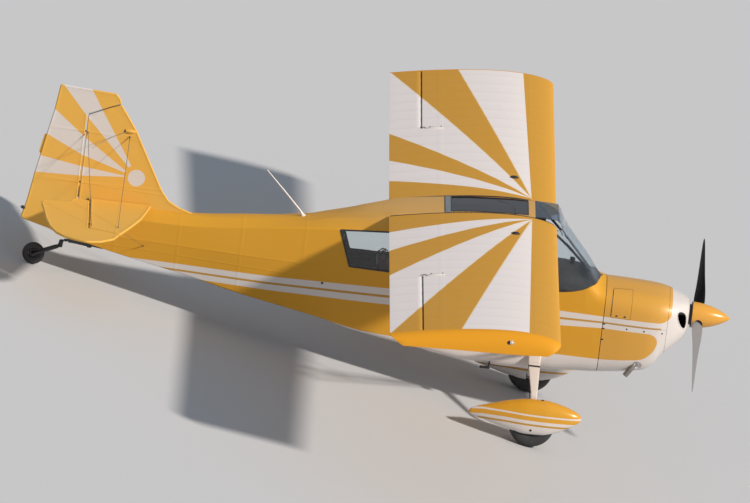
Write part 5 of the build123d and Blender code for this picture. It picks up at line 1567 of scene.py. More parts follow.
def main_gear(side, name, pant_skin, white, rubber_paint, hub_metal, steel, dark):
    shape = Shape().loft([pant_ring(t * t * (3 - 2 * t), side) for t in steps(0, 1, 56)])
    pant = shape.piece(f"{name}_pant", "airframe", "pant_paint", (pant_skin, dark), (f"{name}_wheel_pant",))
    room, half = TYRE_R + 0.012, TYRE_WIDTH / 2 + 0.012
    profile = [
        (-half, 0), (-half, lerp(0.08, room, 0.6)), (-0.8 * half, 0.93 * room), (-0.4 * half, room),
        (0.4 * half, room), (0.8 * half, 0.93 * room), (half, lerp(0.08, room, 0.6)), (half, 0)
    ]
    carve(pant, Shape().lathe(profile, (AXLE.x, side * AXLE.y, AXLE.z), ASIDE, 64, 1))
    y0, y1 = sorted((side * (LEG_KNEE_Y - 0.040), side * (AXLE.y - 0.02)))
    carve(pant, Shape().block((AXLE.x - 0.036, y0, -1.3), (AXLE.x + 0.036, y1, AXLE.z), 1, 0.01))
    shade(pant.data)

    # spring leg: y, z, half its width fore and aft, x of its middle
    rows = [
        (0.300, -0.455, 0.062, -1.473), (0.400, -0.506, 0.061, -1.4735), (0.550, -0.582, 0.053, -1.468),
        (0.700, -0.658, 0.043, -1.460), (0.800, -0.709, 0.036, -1.455), (0.846, -0.733, 0.032, -1.452),
        (0.864, -0.748, 0.032, -1.452), (0.872, -0.770, 0.031, -1.451), (0.873, -0.880, 0.031, -1.448),
        (0.870, -1.045, 0.031, -1.445)
    ]
    rings = []
    for i, (y, z, half, x) in enumerate(rows):
        ay, az = rows[max(0, i - 1)][:2]
        by, bz = rows[min(len(rows) - 1, i + 1)][:2]
        across = Vector((0, -(bz - az), by - ay)).normalized()
        rings.append(leg_ring((x, y, z), half, 0.011, 0.009, side, across.yz, 4))
    leg = Shape().loft(rings)
    leg.tube([(AXLE.x, side * 0.862, AXLE.z), (AXLE.x, side * (AXLE.y + 0.050), AXLE.z)], 0.0155, 20, 1)
    leg.turned(
        [(0, 0.034), (0.012, 0.034), (0.016, 0.024)], (AXLE.x, side * 0.878, AXLE.z), (0, side, 0), 28, 1
    )
    leg.piece(f"{name}_leg", "airframe", "white_metal", (white, steel), (f"{name}_gear_leg",))

    rings = []
    for t, grow in ((0.0, 0.012), (0.45, 0.009), (0.9, 0.006), (1.0, 0.005), (1.0, 0.001)):
        y, z = lerp(0.345, 0.470, t), lerp(-0.478, -0.542, t)
        half = 0.0615 - 0.004 * t + 0.4 * grow
        rings.append(leg_ring((-1.4735, y, z), half, 0.011 + grow, 0.02 + grow / 2, side))
    Shape().loft(rings).piece(f"{name}_leg_cuff", "airframe", "white_metal", white)

    ends = ((-1.470, 0.505, -0.559), (-1.470, 0.525, -0.569))
    band = Shape().loft([leg_ring(end, 0.058, 0.0125, 0.01, side) for end in ends])
    line = [
        (-1.520, 0.33, -0.49), (-1.512, 0.45, -0.548), (-1.505, 0.62, -0.632), (-1.496, 0.78, -0.712),
        (-1.492, 0.845, -0.748), (-1.490, 0.858, -0.79), (-1.488, 0.862, -0.90), (-1.478, 0.880, -0.97)
    ]
    band.tube([(x, side * y, z) for x, y, z in line], 0.0045, 10)
    for x, y, z in line[1:4]:
        y *= side
        band.block((x - 0.008, y - 0.006, z - 0.014), (x + 0.03, y + 0.006, z + 0.004), 0, 0.002)
    band.piece(f"{name}_brake_line", "airframe", "dark_steel", dark)

    screws = []
    for share, level in ((0.40, 0.86), (0.52, 0.84), (0.27, 0.80)):
        ring = pant_ring(share, side)
        spot = Vector(ring[33 if level < 0.85 else 32])
        out = (spot - Vector((spot.x, side * AXLE.y, pant_middle(share)))).normalized()
        screws.append((spot, out))
    fit = rivets(Shape(), screws, 0.006, 0.002)
    spot = Vector(min(pant_ring(0.44, side)[30:], key=lambda p: abs(p[2] + 1.030)))
    rivets(fit, [(spot, Vector((0, side, -0.25)).normalized())], 0.013, 0.0015, 1)
    top = pant_ring(0.36, side)[10]
    fit.turned([(-0.004, 0.013), (0.004, 0.013), (0.006, 0.009)], top, UP, 20, 1)
    fit.piece(f"{name}_pant_screws", "airframe", "dark_steel", (steel, dark))
    wheel(
        name, f"wheel_{name}", (AXLE.x, side * AXLE.y, AXLE.z), TYRE_R, TYRE_WIDTH, 0.082, 0.0165,
        (rubber_paint, hub_metal), (f"{name}_tyre", f"{name}_hub"), (-0.24, -0.08, 0.08, 0.24),
    )


def tail_gear(steel, rubber_paint, hub_metal):
    spring = Shape()
    rows = [
        (-5.74, -0.009), (-5.86, 0.004), (-5.94, 0.014), (-6.02, 0.023), (-6.08, 0.027), (-6.12, 0.022),
        (-6.150, -0.004)
    ]
    for k, (start, thick) in enumerate(((0, 0.0055), (0, 0.0040), (1, 0.0035))):
        part = rows[start: len(rows) - k]
        rings = []
        for i, (x, z) in enumerate(part):
            before, after = part[max(0, i - 1)], part[min(len(part) - 1, i + 1)]
            across = Vector((before[1] - after[1], 0, after[0] - before[0])).normalized()
            across = across if across.z > 0 else -across
            low = Vector((x, 0, z)) - across * (0.010 * k)
            half = 0.0195 - 0.0015 * k
            rings.append(
                [
                    low + across * v + Vector((0, u, 0))
                    for u, v in ((-half, -thick), (half, -thick), (half, thick), (-half, thick))
                ]
            )
        spring.loft(rings)
    up = (LEVEL.inverted().to_3x3() @ Vector(UP)).normalized()
    pivot = level_joint("tailwheel_swivel")
    spring.turned(
        [(-0.022, 0.020), (-0.016, 0.022), (0.016, 0.022), (0.022, 0.019), (0.022, 0.012), (0.028, 0.010)],
        pivot, up, 28
    )
    spring.tube([pivot - up * 0.044, pivot - up * 0.02], 0.0095, 16)
    spring.turned([(-0.012, 0.024), (0.012, 0.024)], (-5.875, 0, -0.012), UP, 6)
    spring.piece("tail_spring_leaves", "airframe", "dark_steel", steel, ("tail_spring",))

    fork = Shape()
    fork.turned([(-0.048, 0.018), (-0.044, 0.024), (-0.0235, 0.024)], pivot, up, 28)
    start = pivot - up * 0.036
    half = TAIL_TYRE_WIDTH / 2 + 0.012
    for side in (1, -1):
        path = [
            start + Vector((0, side * 0.012, 0)),
            start.lerp(TAIL_AXLE, 0.10) + Vector((0, side * 0.030, 0)),
            start.lerp(TAIL_AXLE, 0.20) + Vector((0, side * half, 0)),
            start.lerp(TAIL_AXLE, 0.45) + Vector((0, side * (half + 0.001), 0)),
            TAIL_AXLE + Vector((0.012, side * half, 0.004))
        ]
        fork.loft(tube_rings(path, [0.011, 0.012, 0.012, 0.011, 0.010], 14, 0.55, UP))
        fork.turned(
            [(-0.004, 0.0145), (0.005, 0.0145), (0.010, 0.010), (0.014, 0.008)],
            TAIL_AXLE + Vector((0, side * half, 0)), (0, side, 0), 20
        )
    fork.tube([TAIL_AXLE - Vector((0, half, 0)), TAIL_AXLE + Vector((0, half, 0))], 0.0058, 14)
    fork.piece("tail_fork", "tailwheel_swivel", "dark_steel", steel, ("tailwheel_fork",))
    wheel(
        "tail", "tailwheel", TAIL_AXLE, TAIL_TYRE_R, TAIL_TYRE_WIDTH, 0.048, 0.0061,
        (rubber_paint, hub_metal), ("tail_tyre", "tail_hub"), (-0.12, 0.12)
    )


# ---- struts

EYE_DROP = 0.145161  # from the wing's middle surface down to the tie-down eye


def wing_spot(c, y, height=0.0):
    """A point of a wing in the level frame: y carries the side."""
    a = INCIDENCE
    rise = (abs(y) - ROOT_Y) * math.tan(DIHEDRAL)
    x = WING_NOSE[0] - c * CHORD * math.cos(a) - height * math.sin(a)
    return Vector((x, y, WING_NOSE[1] + rise - c * CHORD * math.sin(a) + height * math.cos(a)))


def struts(side, name, paint, steel):
    ends = []
    for label, foot, c, chord in (
        ("front", (-1.360, 0.34, -0.430), 0.18, 0.104), ("rear", (-1.470, 0.34, -0.430), 0.66, 0.084)
    ):
        foot = Vector((foot[0], side * foot[1], foot[2]))
        top = wing_spot(c, side * 2.45)
        along = (top - foot).normalized()
        fore = (Vector(AHEAD) - along * along.x).normalized()
        across = along.cross(fore)
        rings = []
        for t in steps(0, 1, 10):
            centre = foot.lerp(top, t)
            ring = []
            for u, v in circle(28):
                v *= 1 - 0.35 * (1 - u) / 2 * (1 if u < 0 else 0.4)
                ring.append(centre + fore * (0.5 * chord * u) + across * (chord / 6 * v))
            rings.append(ring)
        shape = Shape().loft(rings)
        for t, size in ((0.052, 1.16), (0.925, 1.14)):
            collar = []
            for shift, grow in ((-0.025, 1.02), (-0.018, size), (0.018, size), (0.025, 1.02)):
                centre = foot.lerp(top, t) + along * shift
                wide, deep = fore * (0.5 * chord * grow), across * (chord / 6 * grow * 1.1)
                collar.append([centre + wide * c + deep * s for c, s in circle(28)])
            shape.loft(collar, 1)
        shape.piece(
            f"{name}_{label}_lift_strut", "airframe", "strut_paint", (paint, steel),
            (f"{name}_{label}_strut",)
        )
        ends.append((foot, top, c))
    jury = Shape()
    mids = [foot.lerp(top, 0.56) for foot, top, _ in ends]
    jury.loft(tube_rings([mids[0], mids[1]], 0.011, 16, 0.6, AHEAD))
    for mid, (_, _, c) in zip(mids, ends):
        top = wing_spot(c, mid.y, -half_thickness(c) * CHORD + 0.01)
        jury.loft(tube_rings([mid, mid.lerp(top, 0.5), top], 0.011, 16, 0.6, AHEAD))
        jury.block(
            (top.x - 0.03, top.y - 0.012, top.z - 0.006), (top.x + 0.03, top.y + 0.012, top.z + 0.004), 1,
            0.002
        )
    jury.piece(f"{name}_jury", "airframe", "strut_paint", (paint, steel), (f"{name}_jury_strut",))

    eye = Shape()
    centre = wing_spot(0.18, side * 2.590) - Vector((0, 0, EYE_DROP))
    ring = [centre + 0.017 * Vector((math.cos(a), 0, math.sin(a))) for a in steps(0, math.tau, 32)]
    eye.loft(tube_rings(ring, 0.0045, 10)[:-1] + [tube_rings(ring, 0.0045, 10)[0]], 0, caps=False)
    eye.tube([centre + Vector((0, 0, 0.019)), centre + Vector((0, 0, 0.08))], 0.0065, 14)
    eye.turned([(0.030, 0.014), (0.036, 0.014)], centre, UP, 6)
    eye.piece(f"{name}_tie_down_eye", "airframe", "dark_steel", steel, (f"{name}_tie_down",))


# ---- cabin

SEAT_HALF = 0.220
PANEL_X = -1.190
SEAT_LEAN = math.atan2(0.085, 0.520)
SEAT_TUBE_R, PIPING_R = 0.0115, 0.0042
STRAP_WIDTH, STRAP_THICK = 0.045, 0.0022
CUSHION_SHRINK = 0.012
PUFF_CAP = 0.024  # the furthest that the cloth may move
CHANNEL_DEPTH, CHANNEL_WIDTH = 0.010, 0.007


def floor_z(x):
    return HULL(x)[KEEL] + 0.060


def stuffed(name, low, high, channels):
    """A sewn cushion, blown up by a cloth simulation from a slightly smaller block."""
    shrink = CUSHION_SHRINK
    low = tuple(a + shrink for a in low)
    high = tuple(a - shrink for a in high)
    shape = Shape().block(low, high, 0, 0.022)
    made = new_object(name, shape.mesh(name, 180))
    remesh = made.modifiers.new("remesh", "REMESH")
    remesh.mode = "VOXEL"
    remesh.voxel_size = 0.006
    made.data = applied(made)
    flat = [v.co.copy() for v in made.data.vertices]
    cloth = made.modifiers.new("cloth", "CLOTH")
    cloth.settings.use_pressure = True
    cloth.settings.uniform_pressure_force = 4
    cloth.settings.effector_weights.gravity = 0
    scene = bpy.context.scene
    for step in range(1, 21):
        scene.frame_set(step)
    puffed = applied(made)
    scene.frame_set(1)
    for vertex, was, now in zip(made.data.vertices, flat, puffed.vertices):
        move = now.co - was
        vertex.co = was + move * min(1.0, PUFF_CAP / max(1e-6, move.length))
    # sewn channels, pressed in along the given lines
    for vertex in made.data.vertices:
        offs = [(vertex.co[axis] - place) / CHANNEL_WIDTH for axis, place in channels]
        vertex.co -= vertex.normal * CHANNEL_DEPTH * max(math.exp(-off * off) for off in offs)
    return made


def seat(name, x, back, cloth, piping, steel, webbing):
    """A tube frame, a cushion, a back rest and its harness."""
    pan = floor_z(x) + 0.210
    frame = Shape()
    wide = SEAT_HALF - 0.03
    for side in (1, -1):
        y = side * wide
        for leg in (x + 0.20, x - 0.20):
            frame.tube([(leg, y, floor_z(leg) + 0.001), (leg, y, pan + 0.004)], SEAT_TUBE_R, 14)
            frame.turned(
                [(0, 0.022), (0.004, 0.022), (0.006, 0.014)], (leg, y, floor_z(leg) + 0.001), UP, 20
            )
        rail = [
            (x + 0.225, y, pan + 0.006), (x - 0.19, y, pan + 0.006), (x - 0.213, y, pan + 0.014),
            (x - 0.232, y, pan + 0.07), (x - 0.272, y, pan + 0.35), (x - 0.298, y, pan + back - 0.080)
        ]
        frame.tube(rail, SEAT_TUBE_R, 14)
    for along, z in ((x + 0.215, pan + 0.006), (x - 0.05, pan + 0.006), (x - 0.19, pan + 0.006)):
        frame.tube([(along, -wide, z), (along, wide, z)], 0.010, 12)
    top = pan + back - 0.083
    frame.tube([(x - 0.297, -wide, top), (x - 0.297, wide, top)], SEAT_TUBE_R, 12)
    frame.block(
        (x - 0.20, -SEAT_HALF + 0.02, pan + 0.002), (x + 0.22, SEAT_HALF - 0.02, pan + 0.010), 0, 0.002
    )
    frame.piece(f"{name}_seat_tubes", "airframe", "dark_steel", steel, (f"{name}_seat_frame",))

    low, high = (x - 0.190, -SEAT_HALF, pan + 0.0125), (x + 0.230, SEAT_HALF, pan + 0.100)
    made = stuffed(f"{name}_seat_pad", low, high, [(1, -0.075), (1, 0.075), (0, x - 0.06)])
    finish_piece(made, "airframe", cloth, (f"{name}_seat_cushion",), 180)
    x0, x1, y0, z = low[0] + 0.008, high[0] - 0.006, SEAT_HALF - 0.008, pan + 0.072
    ring = rounded([(x0, -y0, z), (x1, -y0, z), (x1, y0, z), (x0, y0, z)], [0.05] * 4, 8)
    cord = Shape().loft(tube_rings(ring + ring[:2], PIPING_R, 8)[1:], 0, caps=False)

    low, high = (-0.040, -SEAT_HALF, -0.240), (0.040, SEAT_HALF, back - 0.355)
    made = stuffed(f"{name}_seat_rest", low, high, [(1, -0.075), (1, 0.075), (2, 0.0)])
    turn = Matrix.Translation((x - 0.226, 0, pan + 0.355)) @ Matrix.Rotation(-SEAT_LEAN, 4, "Y")
    made.data.transform(turn)
    finish_piece(made, "airframe", cloth, (f"{name}_seat_back",), 180)
    head = back - 0.363
    corners = [(0.022, -y0, -0.232), (0.022, y0, -0.232), (0.022, y0, head), (0.022, -y0, head)]
    ring = [turn @ Vector(point) for point in rounded(corners, [0.05] * 4, 8)]
    cord.loft(tube_rings(ring + ring[:2], PIPING_R, 8)[1:], 0, caps=False)
    cord.piece(f"{name}_seat_piping", "airframe", "seat_fabric", piping)

    straps = Shape()
    for side in (1, -1):
        path = [
            (-0.060, 0.085, 0.10), (-0.048, 0.085, head), (-0.002, 0.085, head + 0.026),
            (0.048, 0.085, head), (0.058, 0.080, 0.10), (0.062, 0.060, -0.08)
        ]
        path = [turn @ Vector((a, side * b, c)) for a, b, c in path + [(0.066, 0.030, -0.20)]]
        straps.loft(ribbon(path, STRAP_WIDTH, STRAP_THICK, ASIDE))
        lap = [
            (x - 0.17, side * (SEAT_HALF + 0.006), pan + 0.02),
            (x - 0.13, side * (SEAT_HALF - 0.02), pan + 0.108), (x - 0.08, side * 0.13, pan + 0.122),
            (x - 0.05, side * 0.045, pan + 0.124)
        ]
        straps.loft(ribbon(lap, STRAP_WIDTH, STRAP_THICK, (0.8, 0, 0.2)))
    straps.block((x - 0.085, -0.032, pan + 0.118), (x - 0.020, 0.032, pan + 0.130), 1, 0.004)
    straps.piece(f"{name}_harness", "airframe", "seat_fabric", (webbing, steel))


def ribbon(path, width, thick, across):
    """Rings of a flat strap along a path; across is the way its width runs."""
    path = [Vector(point) for point in path]
    rings = []
    for i, point in enumerate(path):
        ahead = (path[min(i + 1, len(path) - 1)] - path[max(i - 1, 0)]).normalized()
        side = Vector(across)
        side = (side - ahead * side.dot(ahead)).normalized()
        out = ahead.cross(side)
        rings.append(
            [
                point + side * (width / 2 * a) + out * (thick / 2 * b)
                for a, b in ((-1, -1), (1, -1), (1, 1), (-1, 1))
            ]
        )
    return rings


def dial_face(name, ticks, needles):
    """A black dial painted with white ticks and hands, centred on the piece's own origin."""
    paint = Paint(name, (0.01, 0.01, 0.01), Roughness=0.35)
    radius = (paint.y * paint.y + paint.z * paint.z) ** 0.5
    turn = paint.y.math("ARCTAN2", paint.z)
    marks = (turn.off_lines(math.tau / ticks) * radius < 0.0007) & radius.between(0.026, 0.032)
    long = (turn.off_lines(math.tau / (ticks / 5)) * radius < 0.0011) & radius.between(0.022, 0.032)
    mask = marks | long
    for angle, length, width in needles:
        along = paint.y * math.sin(angle) + paint.z * math.cos(angle)
        off = abs(paint.y * math.cos(angle) - paint.z * math.sin(angle))
        mask = mask | (along.between(-0.006, length) & (off < width))
    paint.colour(paint.mix(mask, (0.012, 0.012, 0.012), (0.75, 0.75, 0.72)))
    return paint.done()


def instrument_panel(plastic, hood_paint, bezel, faces, knob):
    def edge(x, inset):
        """The panel's outline just inside the cabin's skin, with a bowed top."""
        half = HULL(x)[HALF_WIDTH]
        wide = half - inset
        points = [
            (-wide, -0.060), (wide, -0.060), (wide, 0.095), (half - 0.10, 0.148), (0, 0.159),
            (-half + 0.10, 0.148), (-wide, 0.095)
        ]
        return rounded([(x, y, z) for y, z in points], [0.03, 0.03, 0.04, 0.12, 0.30, 0.12, 0.04], 5)

    panel = Shape().loft([edge(x, 0.016) for x in (PANEL_X - 0.004, PANEL_X + 0.004)])
    panel.piece("panel_board", "airframe", "panel_plastic", plastic, ("instrument_panel",))
    hood = Shape()
    rings = []
    # x, height of the top, height of the underside at its middle
    rows = [
        (-0.925, 0.262, 0.10), (-0.990, 0.315, 0.10), (-1.080, 0.348, 0.10), (PANEL_X + 0.002, 0.366, 0.10),
        (PANEL_X, 0.366, 0.340), (-1.270, 0.374, 0.352), (-1.388, 0.378, 0.358), (-1.398, 0.374, 0.360),
        (-1.402, 0.368, 0.364)
    ]
    for x, rise, low in rows:
        half = HULL(x)[HALF_WIDTH] - 0.026
        ring = [(x, t * half, rise - 0.022 * t * t - 0.13 * abs(t) ** 5) for t in steps(-1, 1, 24)]
        if low < 0.2:
            ring += [(x, t * half, low) for t in steps(1, -1, 24)]
        else:
            ring += [(px, py, pz - (rise - low)) for px, py, pz in reversed(ring)]
        rings.append(ring)
    hood.loft(rings)
    hood.lathe(
        [(-0.030, 0), (-0.030, 0.020), (-0.020, 0.031), (0.012, 0.033), (0.018, 0.030), (0.019, 0.026)],
        (-1.215, 0, 0.408), (-1, 0, 0.1), 32
    )
    hood.lathe([(0.019, 0.026), (0.014, 0.018), (0.014, 0)], (-1.215, 0, 0.408), (-1, 0, 0.1), 32, 1)
    hood.block((-1.235, -0.014, 0.360), (-1.195, 0.014, 0.384), 0, 0.004)
    hood.piece("glare_shield", "airframe", "panel_plastic", (hood_paint, bezel))

    rims = Shape()
    spots = [((i - 1) * 0.095 - 0.02, 0.055 + (j - 0.5) * 0.092, 0.038) for i in range(3) for j in range(2)]
    spots += [
        (0.17, 0.10, 0.028), (0.17, 0.04, 0.028), (0.235, 0.10, 0.028), (0.235, 0.04, 0.028),
        (-0.22, 0.10, 0.028), (-0.22, 0.035, 0.028)
    ]
    for k, (y, z, r) in enumerate(spots):
        rims.lathe(
            [(0, r - 0.006), (0, r + 0.002), (0.004, r + 0.002), (0.007, r - 0.002), (0.003, r - 0.006)],
            (PANEL_X - 0.004, y, z), BACK, 36
        )
        disc = Shape().turned([(0, r - 0.004), (0.0015, r - 0.004)], (0, 0, 0), BACK, 36)
        place = LEVEL @ Matrix.Translation((PANEL_X - 0.0042, y, z))
        disc.piece(f"dial_{k + 1}", "airframe", "panel_plastic", faces[k % len(faces)], place=place)
    rims.piece("dial_bezels", "airframe", "panel_plastic", bezel)
    knobs = Shape()
    for k in range(7):
        y = -0.12 + 0.045 * k
        knobs.turned([(0, 0.009), (0.010, 0.0075), (0.016, 0.006)], (PANEL_X - 0.004, y, -0.030), BACK, 18)
    for y, paint_slot in ((0.10, 1), (0.15, 0), (0.20, 0)):
        knobs.tube([(PANEL_X - 0.004, y, -0.005), (PANEL_X - 0.05, y, -0.005)], 0.0035, 10)
        knobs.turned(
            [(0, 0.010), (0.006, 0.014), (0.016, 0.014), (0.022, 0.009)], (PANEL_X - 0.048, y, -0.005),
            BACK, 20, paint_slot
        )
    knobs.block((PANEL_X - 0.010, -0.345, 0.055), (PANEL_X - 0.004, -0.275, 0.115), 0, 0.002)
    knobs.piece("panel_knobs", "airframe", "panel_plastic", knob)


def cabin_fittings(steel, grip, floor_paint):
    sticks = Shape()
    for x in (-1.630, -2.460):
        z = floor_z(x) + 0.001
        sticks.turned(
            [
                (0, 0.060), (0.006, 0.058), (0.018, 0.045), (0.024, 0.040), (0.036, 0.030), (0.044, 0.026),
                (0.070, 0.014)
            ],
            (x, 0, z), UP, 32, 1
        )
        path = [
            (x, 0, z + 0.03), (x - 0.006, 0, z + 0.12), (x - 0.028, 0, z + 0.28), (x - 0.040, 0, z + 0.41)
        ]
        sticks.tube(path, 0.0105, 16)
        path = [
            (x - 0.040, 0, z + 0.400), (x - 0.043, 0, z + 0.425), (x - 0.047, 0, z + 0.460),
            (x - 0.051, 0, z + 0.495), (x - 0.054, 0, z + 0.515)
        ]
        sticks.tube(path, [0.012, 0.017, 0.0155, 0.018, 0.012], 18, 1)
    x, z = -1.120, floor_z(-1.120) + 0.001
    for y in (0.130, -0.130):
        sticks.tube([(x, y, z), (x + 0.022, y, z + 0.165)], 0.009, 12)
        sticks.block((x + 0.006, y - 0.040, z + 0.120), (x + 0.022, y + 0.040, z + 0.198), 0, 0.006)
        for k in range(5):
            bar = z + 0.130 + 0.013 * k
            sticks.block((x + 0.001, y - 0.034, bar), (x + 0.007, y + 0.034, bar + 0.005), 1, 0.001)
    sticks.piece("sticks_and_pedals", "airframe", "dark_steel", (steel, grip), ("cabin_controls",))

    tubes = Shape()
    for side in (1, -1):
        tubes.tube(
            [(-0.965, side * 0.030, 0.262), (-1.28, side * 0.150, 0.585), (-1.590, side * 0.262, 0.850)],
            0.0125, 18
        )
    tubes.piece("v_brace", "airframe", "dark_steel", steel, ("brace_tubes",))

    frame = Shape()
    walls = [
        (0.011, (-1.52, -0.56), (-1.52, 0.66)),
        (0.011, (-2.525, -0.50), (-2.525, 0.66)),
        (0.011, (-2.54, 0.64), (-3.20, -0.42)),
        (0.010, (-3.45, -0.36), (-3.45, 0.48)),
        (0.011, (-0.90, -0.02), (-1.52, 0.10)),
        (0.011, (-1.52, 0.10), (-2.54, 0.10), (-3.45, 0.10)),
    ]
    for side in (1, -1):
        for radius, *spots in walls:
            frame.tube([(x, side * (HULL(x)[HALF_WIDTH] - 0.030), z) for x, z in spots], radius, 12)
        frame.tube([(-1.50, side * 0.285, 0.68), (-3.00, side * 0.285, 0.64)], 0.012, 12)
    for a, b, radius, sides in (
        ((-1.62, -0.29, 0.845), (-1.62, 0.29, 0.845), 0.012, 14),
        ((-2.47, -0.29, 0.79), (-2.47, 0.29, 0.79), 0.012, 14),
        ((-1.62, -0.27, 0.835), (-2.47, 0.27, 0.785), 0.010, 12),
    ):
        frame.tube([a, b], radius, sides)
    frame.piece("cabin_tubes", "airframe", "dark_steel", steel)

    deck = Shape()
    rings = []
    for x in steps(-0.95, -3.42, 26):
        half = HULL(x)[HALF_WIDTH] - 0.030 - 0.25 * HULL(x)[CORNER_R]
        z = floor_z(x) + 0.0025
        rings.append(
            [(x, -half, z - 0.002), (x, half, z - 0.002), (x, half, z + 0.003), (x, -half, z + 0.003)]
        )
    deck.loft(rings)
    deck.piece("cabin_carpet", "airframe", "seat_fabric", floor_paint)
    shelf = Shape().block((-3.42, -0.27, 0.02), (-2.98, 0.27, 0.035), 0, 0.004)
    shelf.block((-2.995, -0.27, -0.38), (-2.98, 0.27, 0.035), 0, 0.003)
    shelf.piece("baggage_shelf", "airframe", "seat_fabric", floor_paint)


# ---- small fittings


def wing_top_spot(c, y):
    return skin_point(c, y, True, dip=False)


def wing_details(side, name, white, dark, lamp):
    frame = wing_frame(side)
    shape = Shape()
    # fuel cap with its ring and tab
    x, y, z = wing_top_spot(0.255, side * 1.03)
    shape.lathe(
        [
            (-0.004, 0), (-0.004, 0.043), (0.0015, 0.043), (0.003, 0.040), (0.003, 0.036), (0.006, 0.034),
            (0.010, 0.030), (0.011, 0)
        ],
        (x, y, z), UP, 40
    )
    shape.block((x - 0.026, y - 0.005, z + 0.009), (x + 0.026, y + 0.005, z + 0.017), 0, 0.003)
    shape.piece(f"{name}_fuel_cap", "airframe", "dark_steel", dark, place=frame)

    # fairing over the aileron's inner hinge and rod, with its two screws
    fairing = Shape()
    rings = []
    for t in steps(0, 1, 12):
        c = lerp(0.672, 0.786, t)
        x, _, z = wing_top_spot(c, side * 2.70)
        half = 0.024 * math.sin(math.pi * min(0.98, max(0.02, t))) ** 0.5
        tall = 0.020 * math.sin(math.pi * min(0.98, max(0.02, t))) ** 0.6
        ring = []
        for a in steps(0, math.pi, 10):
            ring.append((x, side * 2.694 + half * math.cos(a), z - 0.002 + tall * math.sin(a)))
        ring += [(x, side * 2.694 - half, z - 0.006), (x, side * 2.694 + half, z - 0.006)]
        rings.append(ring)
    fairing.loft(rings)
    for c in (0.690, 0.757):
        x, _, z = wing_top_spot(c, side * 2.70)
        fairing.lathe(
            [(0, 0), (0, 0.0085), (0.003, 0.007), (0.004, 0)], (x, side * 2.694, z + 0.016), UP, 14, 1
        )
    x, _, z = wing_top_spot(0.79, side * 2.702)
    fairing.tube(
        [
            (x + 0.03, side * 2.702, z - 0.004), (x - 0.005, side * 2.703, z + 0.012),
            (x - 0.045, side * 2.712, z + 0.004)
        ],
        0.004, 8, 1
    )
    fairing.piece(f"{name}_aileron_fairing", "airframe", "white_metal", (white, dark), place=frame)

    # lamp on the tip cap: a dark foot, a clear lens and a bright bulb
    light = Shape()
    y = side * (TIP_RIB_Y + 0.84 * TIP_CAP)
    x = -0.295 * CHORD
    z = 0.034
    rings = []
    for t in steps(0, 1, 12):
        swell = math.sin(math.pi * min(0.985, max(0.015, t))) ** 0.55
        fore, wide, tall = x + 0.075 * (0.5 - t), 0.020 * swell, 0.022 * swell
        rings.append([(fore, y + wide * c, z - 0.016 + tall * s) for c, s in circle(16)])
    light.loft(rings[:8], 1)
    light.loft(rings[7:], 0)
    light.lathe([(0, 0), (0, 0.011), (0.006, 0.009), (0.008, 0)], (x + 0.010, y, z + 0.002), UP, 14, 2)
    light.piece(f"{name}_position_light", "airframe", "clear_glazing", (dark, lamp, white), place=frame)


def roof_details(dark, bright):
    """Black seals along the wing roots and the metal strips across the roof."""
    seals = Shape()
    for side in (1, -1):
        path = []
        for x in steps(-1.418, -3.030, 44):
            c = (WING_NOSE[0] - x) / CHORD
            z = wing_spot(c, ROOT_Y, (camber(c) + half_thickness(c)) * CHORD + TRAILING_HALF * c).z
            path.append((x, side * 0.3095, z + 0.0005))
        seals.loft(tube_rings(path, [0.0030, 0.0045, 0.0060, 0.0075] + [0.0085] * 41, 8, 0.5, ASIDE))
    for x, half in ((-2.503, 0.292), (-1.698, 0.262), (-2.443, 0.262)):
        path = [(x, t * half, HULL(x)[RIDGE] + 0.001 - 0.004 * abs(t) ** 4) for t in steps(-1, 1, 12)]
        seals.loft(tube_rings(path, 0.0045, 8, 0.5, AHEAD))
    seals.piece("roof_seals", "airframe", "dark_steel", dark)
    strip = Shape()
    rings = []
    for x in (-2.500, -2.497, -2.449, -2.446):
        edge = 0.0008 if x in (-2.500, -2.446) else 0.0028
        half = 0.292
        rings.append(
            [
                (x, t * half, HULL(x)[RIDGE] + edge - 0.003 * abs(t) ** 4) for t in steps(-1, 1, 12)
            ] + [(x, half, HULL(x)[RIDGE] - 0.01), (x, -half, HULL(x)[RIDGE] - 0.01)]
        )
    strip.loft(rings)
    rivets(
        strip,
        [((x, y, HULL(x)[RIDGE] + 0.0024), UP) for x in (-2.458, -2.490) for y in steps(-0.27, 0.27, 12)],
        0.0035, 0.0012
    )
    strip.piece("roof_metal_strip", "airframe", "white_metal", bright)
    frame = Shape()
    ends = [(-1.698, 0.262), (-1.698, -0.262), (-2.443, -0.262), (-2.443, 0.262)]
    path = []
    for (ax, ay), (bx, by) in zip(ends, ends[1:] + ends[:1]):
        for t in steps(0, 1, 10)[:-1]:
            x, y = lerp(ax, bx, t), lerp(ay, by, t)
            path.append((x, y, HULL(x)[RIDGE] + 0.0012))
    frame.loft(tube_rings(path + path[:1], 0.005, 8, 0.5, UP), caps=False)
    rivets(
        frame,
        [
            ((x, side * 0.282, HULL(x)[EDGE_Z] + 0.002), UP)
            for side in (1, -1)
            for x in steps(-1.74, -2.42, 12)
        ],
        0.0035, 0.0012
    )
    frame.piece("skylight_frame", "airframe", "dark_steel", dark)


SCREW_INSET = 0.014  # from the edge of a cowl panel to its screws


